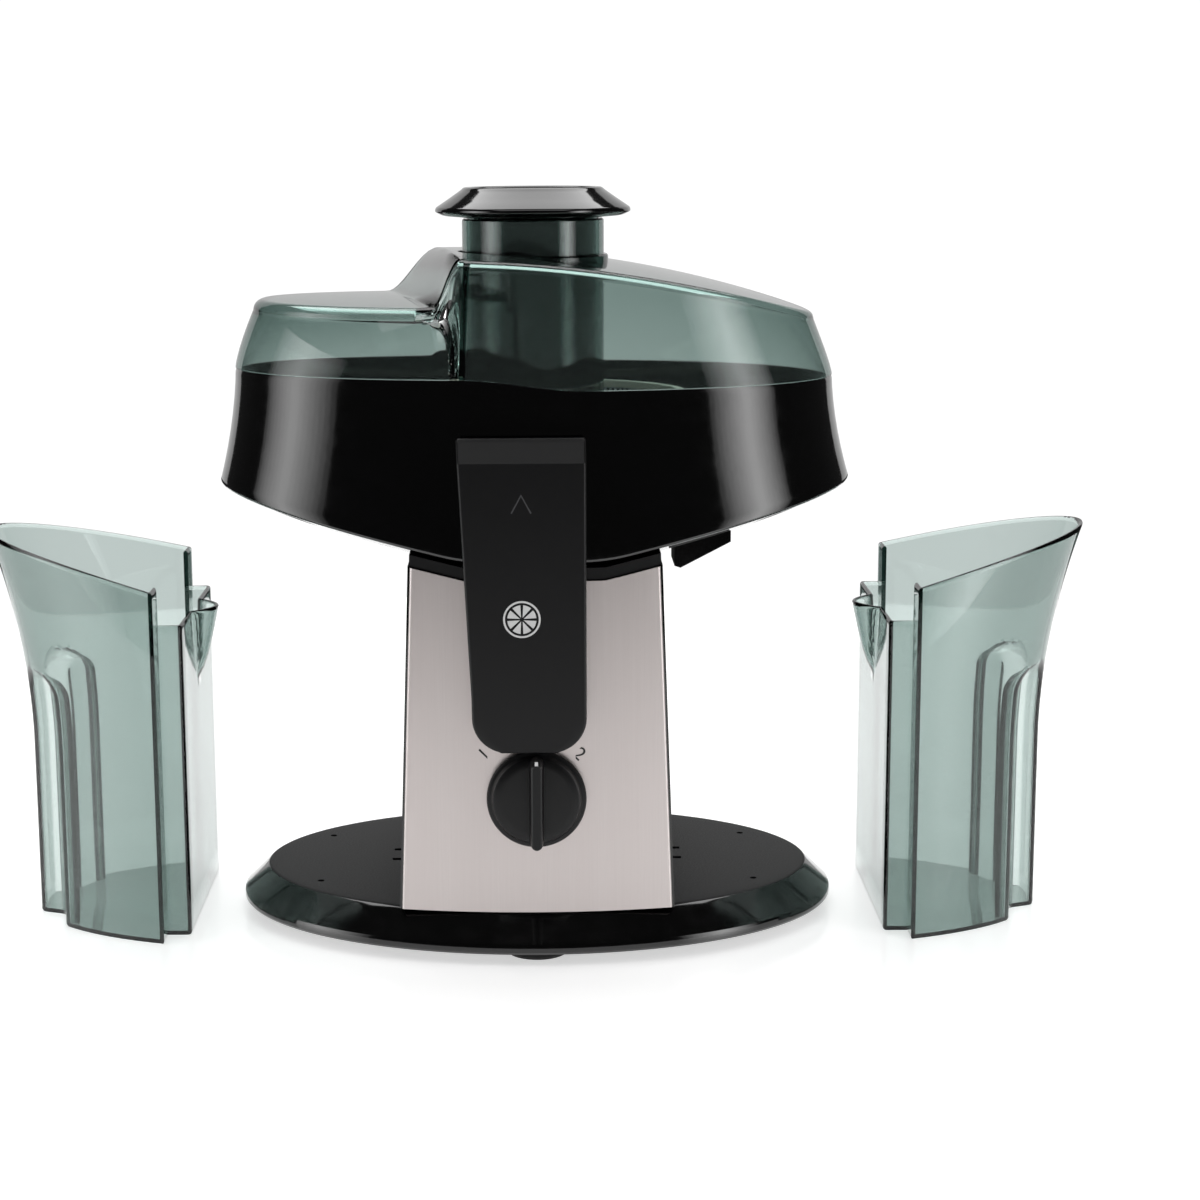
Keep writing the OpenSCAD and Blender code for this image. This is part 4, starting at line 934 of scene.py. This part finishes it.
def make_latch():
    """A hollow-backed lever with a sloping lip, softly rounded edges and a finger arrow."""
    low, high, front = LATCH_LOW[2], LATCH_HIGH[2], LATCH_LOW[1]
    back = front + LATCH_D
    lip, cap, wall, soft = LATCH_LIP, LATCH_CAP, LATCH_WALL, 1.5

    def section(z, shrink):
        left, right = latch_sides(z)
        left, right = left + shrink, right - shrink
        slope = smooth((z - high + lip + 1.2) / 2.4) * 0.4 + 0.6 * (z > high - lip)
        face = front + max(0, 9 * (z - high + lip) / lip) * min(1, slope) + shrink
        rear = back - 3 * max(0, 1 - (z - low) / 6)
        inner = rear if z > high - cap else max(face + wall, min(rear, face + wall))
        points = [(left, rear)]
        points += [(left + soft - soft * math.cos(t), face + soft - soft * math.sin(t)) for t in QUARTER]
        points += [(mix(left + soft, right - soft, k / 10), face) for k in range(1, 10)]
        points += [(right - soft + soft * math.sin(t), face + soft - soft * math.cos(t)) for t in QUARTER]
        points += [(right, rear), (right - wall, rear), (right - wall, inner), (left + wall, inner),
                   (left + wall, rear)]
        return [(x, y, z) for x, y in points]

    heights = [low + LATCH_CORNER * (1 - math.cos(math.radians(a)))
               for a in (14, 20, 26, 34, 42, 50, 58, 66, 74, 82, 90)]
    heights += [mix(low + LATCH_CORNER, high - cap - 0.4, k / 12) for k in range(1, 13)]
    heights += [high - cap + 0.4, high - lip - 1.2, high - lip - 0.6, high - lip, high - lip + 0.6,
                high - lip + 1.2, high - 8, high - 5, high - 2, high - 0.8]
    rings = [[(x, y, low) for x, y, z in section(heights[0], 0.5)]] + [section(z, 0) for z in heights]
    rings.append([(x, y, high) for x, y, z in section(high - 0.3, 0.6)])
    verts, faces = loft(rings)
    piece("latch_arm_moulding", verts, faces, "latch", "satin_abs", [MATERIALS["satin_abs"]], 28,
          ["latch_arm"])
    pin_low, pin_high = box_mm("latch_pin")
    px = (pin_low[0] + pin_high[0]) / 2
    py, pz = (pin_low[1] + pin_high[1]) / 2, (pin_low[2] + pin_high[2]) / 2
    lugs = []
    for x in (pin_low[0] + 1.5, pin_high[0] - 1.5):
        outline = [(front + 1, pz - 3.5), (py + 3.4, pz - 3.5), (py + 4, pz), (py + 3.4, pz + 3.5),
                   (front + 1, pz + 5)]
        lugs.append(loft([[(x - 1.5, y, z) for y, z in outline], [(x + 1.5, y, z) for y, z in outline]]))
    piece("latch_lugs", *join(*lugs), "latch", "satin_abs", [MATERIALS["satin_abs"]])
    cz = high - 30
    bars = []
    for sx in (-1, 1):
        outline = [(px, cz + 4.4), (px + sx * 5, cz - 4.6), (px + sx * 4.4, cz - 5), (px, cz + 3.3)]
        bars.append(loft([[(x, y, z) for x, z in outline] for y in (front - 0.02, front + 0.3)]))
    piece("latch_arrow", *join(*bars), "latch", "satin_abs", [MATERIALS["grey_abs"]])


def make_emblem():
    """A citrus slice: a rind ring and eight wedges."""
    cx, cz = (EMBLEM_LOW[0] + EMBLEM_HIGH[0]) / 2, (EMBLEM_LOW[2] + EMBLEM_HIGH[2]) / 2
    front, back = EMBLEM_LOW[1], EMBLEM_HIGH[1]
    radius = (EMBLEM_HIGH[0] - EMBLEM_LOW[0]) / 2

    def at(outline, y):
        return [(cx + x, y, cz + z) for x, z in outline]

    parts = []
    outer = arc(0, 0, radius, 0, 356, 89)
    inner = arc(0, 0, radius - 0.9, 0, 356, 89)
    rind = [at(outer, back), at(outer, front), at(inner, front), at(inner, back)]
    parts.append(loft(rind, closed=True))
    for k in range(8):
        mid = 45 * k + 22.5
        tip = (1.0 * math.cos(math.radians(mid)), 1.0 * math.sin(math.radians(mid)))
        wedge = [tip] + arc(0, 0, radius - 2.0, mid - 17, mid + 17, 8)
        parts.append(loft([at(wedge, back), at(wedge, front)]))
    piece("citrus_mark", *join(*parts), "latch", "white_print", [MATERIALS["white_print"]], 30,
          ["latch_emblem"])


def make_dial():
    """Skirt, raised face and a waisted grip bar."""
    cx = (DIAL_LOW[0] + DIAL_HIGH[0]) / 2
    cz = (DIAL_LOW[2] + DIAL_HIGH[2]) / 2
    r = (DIAL_HIGH[0] - DIAL_LOW[0]) / 2
    back, front = DIAL_HIGH[1], DIAL_LOW[1]
    skirt = [(r - 3, 0), (r - 0.5, 0), (r, 0.5), (r, 2.2), (r - 0.6, 3.0), (r - 2.0, 3.4), (r - 2.6, 4.2),
             (r - 3.2, 5.4), (r - 4.2, 6.0), (r - 8, 6.3), (0.3, 6.4)]
    rings = []
    for radius, out in skirt:
        rings.append([(cx + radius * math.cos(2 * math.pi * i / 128), back - out,
                       cz + radius * math.sin(2 * math.pi * i / 128)) for i in range(128)])
    parts = [loft(rings)]
    half_l, half_w = r - 2.2, 3.6
    layers = []
    full = back - front
    for depth, shrink in ((5.8, 0), (full - 1.6, 0.9), (full - 0.5, 1.3), (full, 2.1)):
        w, length = half_w - shrink * 0.8, half_l - shrink * 0.7
        outline = arc(cx, cz + length - w, w, 0, 180, 12) + arc(cx, cz - length + w, w, 180, 360, 12)
        layers.append([(x, back - depth, z) for x, z in outline])
    parts.append(loft(layers))
    piece("dial_knob_moulding", *join(*parts), "dial", "satin_abs", [MATERIALS["satin_abs"]], 28,
          ["dial_knob"])


def make_numerals():
    """The speed numerals 1 and 2, printed on the panel beside the dial."""
    cz = (DIAL_LOW[2] + DIAL_HIGH[2]) / 2
    depth = -PANEL_LOW[1]
    parts = []
    for digit, side in (("1", -1), ("2", 1)):
        curve = bpy.data.curves.new("digit_" + digit, "FONT")
        curve.body = digit
        curve.size = 0.0095
        curve.extrude = 0.00008
        curve.align_x = "CENTER"
        curve.align_y = "CENTER"
        text = bpy.data.objects.new("digit_" + digit, curve)
        bpy.context.scene.collection.objects.link(text)
        bpy.context.view_layer.update()
        mesh = bpy.data.meshes.new_from_object(text.evaluated_get(bpy.context.evaluated_depsgraph_get()))
        bpy.data.objects.remove(text)
        x = -25.5 if side < 0 else 21.1
        z = cz + 21.4
        turn = Matrix.Translation(Vector((x * MM, (front_y(x, depth) - 0.03) * MM, z * MM)))
        turn = turn @ Matrix.Rotation(math.radians(side * 45), 4, "Y")
        turn = turn @ Matrix.Rotation(math.radians(90), 4, "X")
        mesh.transform(turn)
        verts = [tuple(c / MM for c in v.co) for v in mesh.vertices]
        faces = [tuple(p.vertices) for p in mesh.polygons]
        parts.append((verts, faces))
    piece("dial_numerals", *join(*parts), "base", "dark_print", [MATERIALS["dark_print"]], 30, ["dial_marks"])


def make_pusher():
    """The pusher: a hollow plunger under a broad, gently coned flange with a rounded rim."""
    r = (PUSHER_HIGH[0] - PUSHER_LOW[0]) / 2
    body = CHUTE_R - 0.6
    top, bottom = PUSHER_HIGH[2], PUSHER_LOW[2]
    under = CHUTE_TOP + 0.3
    profile = rounded_profile([
        (0.2, bottom), (body - 0.5, bottom), (body, bottom + 2), (body, under), (r - 4, under + 1.2),
        (r, under + 3.2), (r - 0.4, under + 5.2), (r - 7, under + 9.6), (body + 4.4, top - 1.6),
        (body + 2.6, top),
        (body - 1.2, top - 0.2), (body - 2, top - 3), (body - 3, bottom + 5), (0.2, bottom + 4)], 1.6, 4)
    piece("pusher_moulding", *loft(lathe(profile, 144)), "pusher", "gloss_abs", [MATERIALS["gloss_abs"]], 40,
          ["pusher"])


def make_basket():
    """The filter cone: a steel foil pierced by rows of small holes."""
    r0 = 57.1
    r1 = BASKET_HIGH[0] - 0.2
    z0, z1 = BASKET_LOW[2], BASKET_HIGH[2]
    columns, rows = 150, 16
    verts, faces = [], []

    def at(u, v):
        r = mix(r0, r1, v)
        turn = 2 * math.pi * u
        return (r * math.cos(turn), r * math.sin(turn), mix(z0, z1, v))

    for i in range(rows):
        shift = 0.5 * (i % 2)
        for j in range(columns):
            corners = [((j + shift) / columns, i / rows), ((j + 1 + shift) / columns, i / rows),
                       ((j + 1 + shift) / columns, (i + 1) / rows), ((j + shift) / columns, (i + 1) / rows)]
            cu = sum(c[0] for c in corners) / 4
            cv = sum(c[1] for c in corners) / 4
            hole = [(mix(cu, u, 0.52), mix(cv, v, 0.52)) for u, v in corners]
            start = len(verts)
            verts += [at(*c) for c in corners] + [at(*h) for h in hole]
            for k in range(4):
                m = (k + 1) % 4
                faces.append((start + k, start + m, start + 4 + m, start + 4 + k))
    basket = piece("pierced_basket", verts, faces, "rotor", "basket_steel", [MATERIALS["basket_steel"]], 60,
                   ["filter_basket"])
    thick = basket.modifiers.new("foil", "SOLIDIFY")
    thick.thickness = 0.5 * MM
    thick.offset = 0


dress_frame()
make_camera()
make_floor()
make_lights()
make_bowl()
make_lid()
make_container(1, "right_container")
make_container(-1, "left_container")
make_plate()
make_panel()
make_latch()
make_emblem()
make_dial()
make_numerals()
make_pusher()
make_basket()
bpy.context.scene.view_settings.view_transform = "Standard"

bpy.context.view_layer.update()
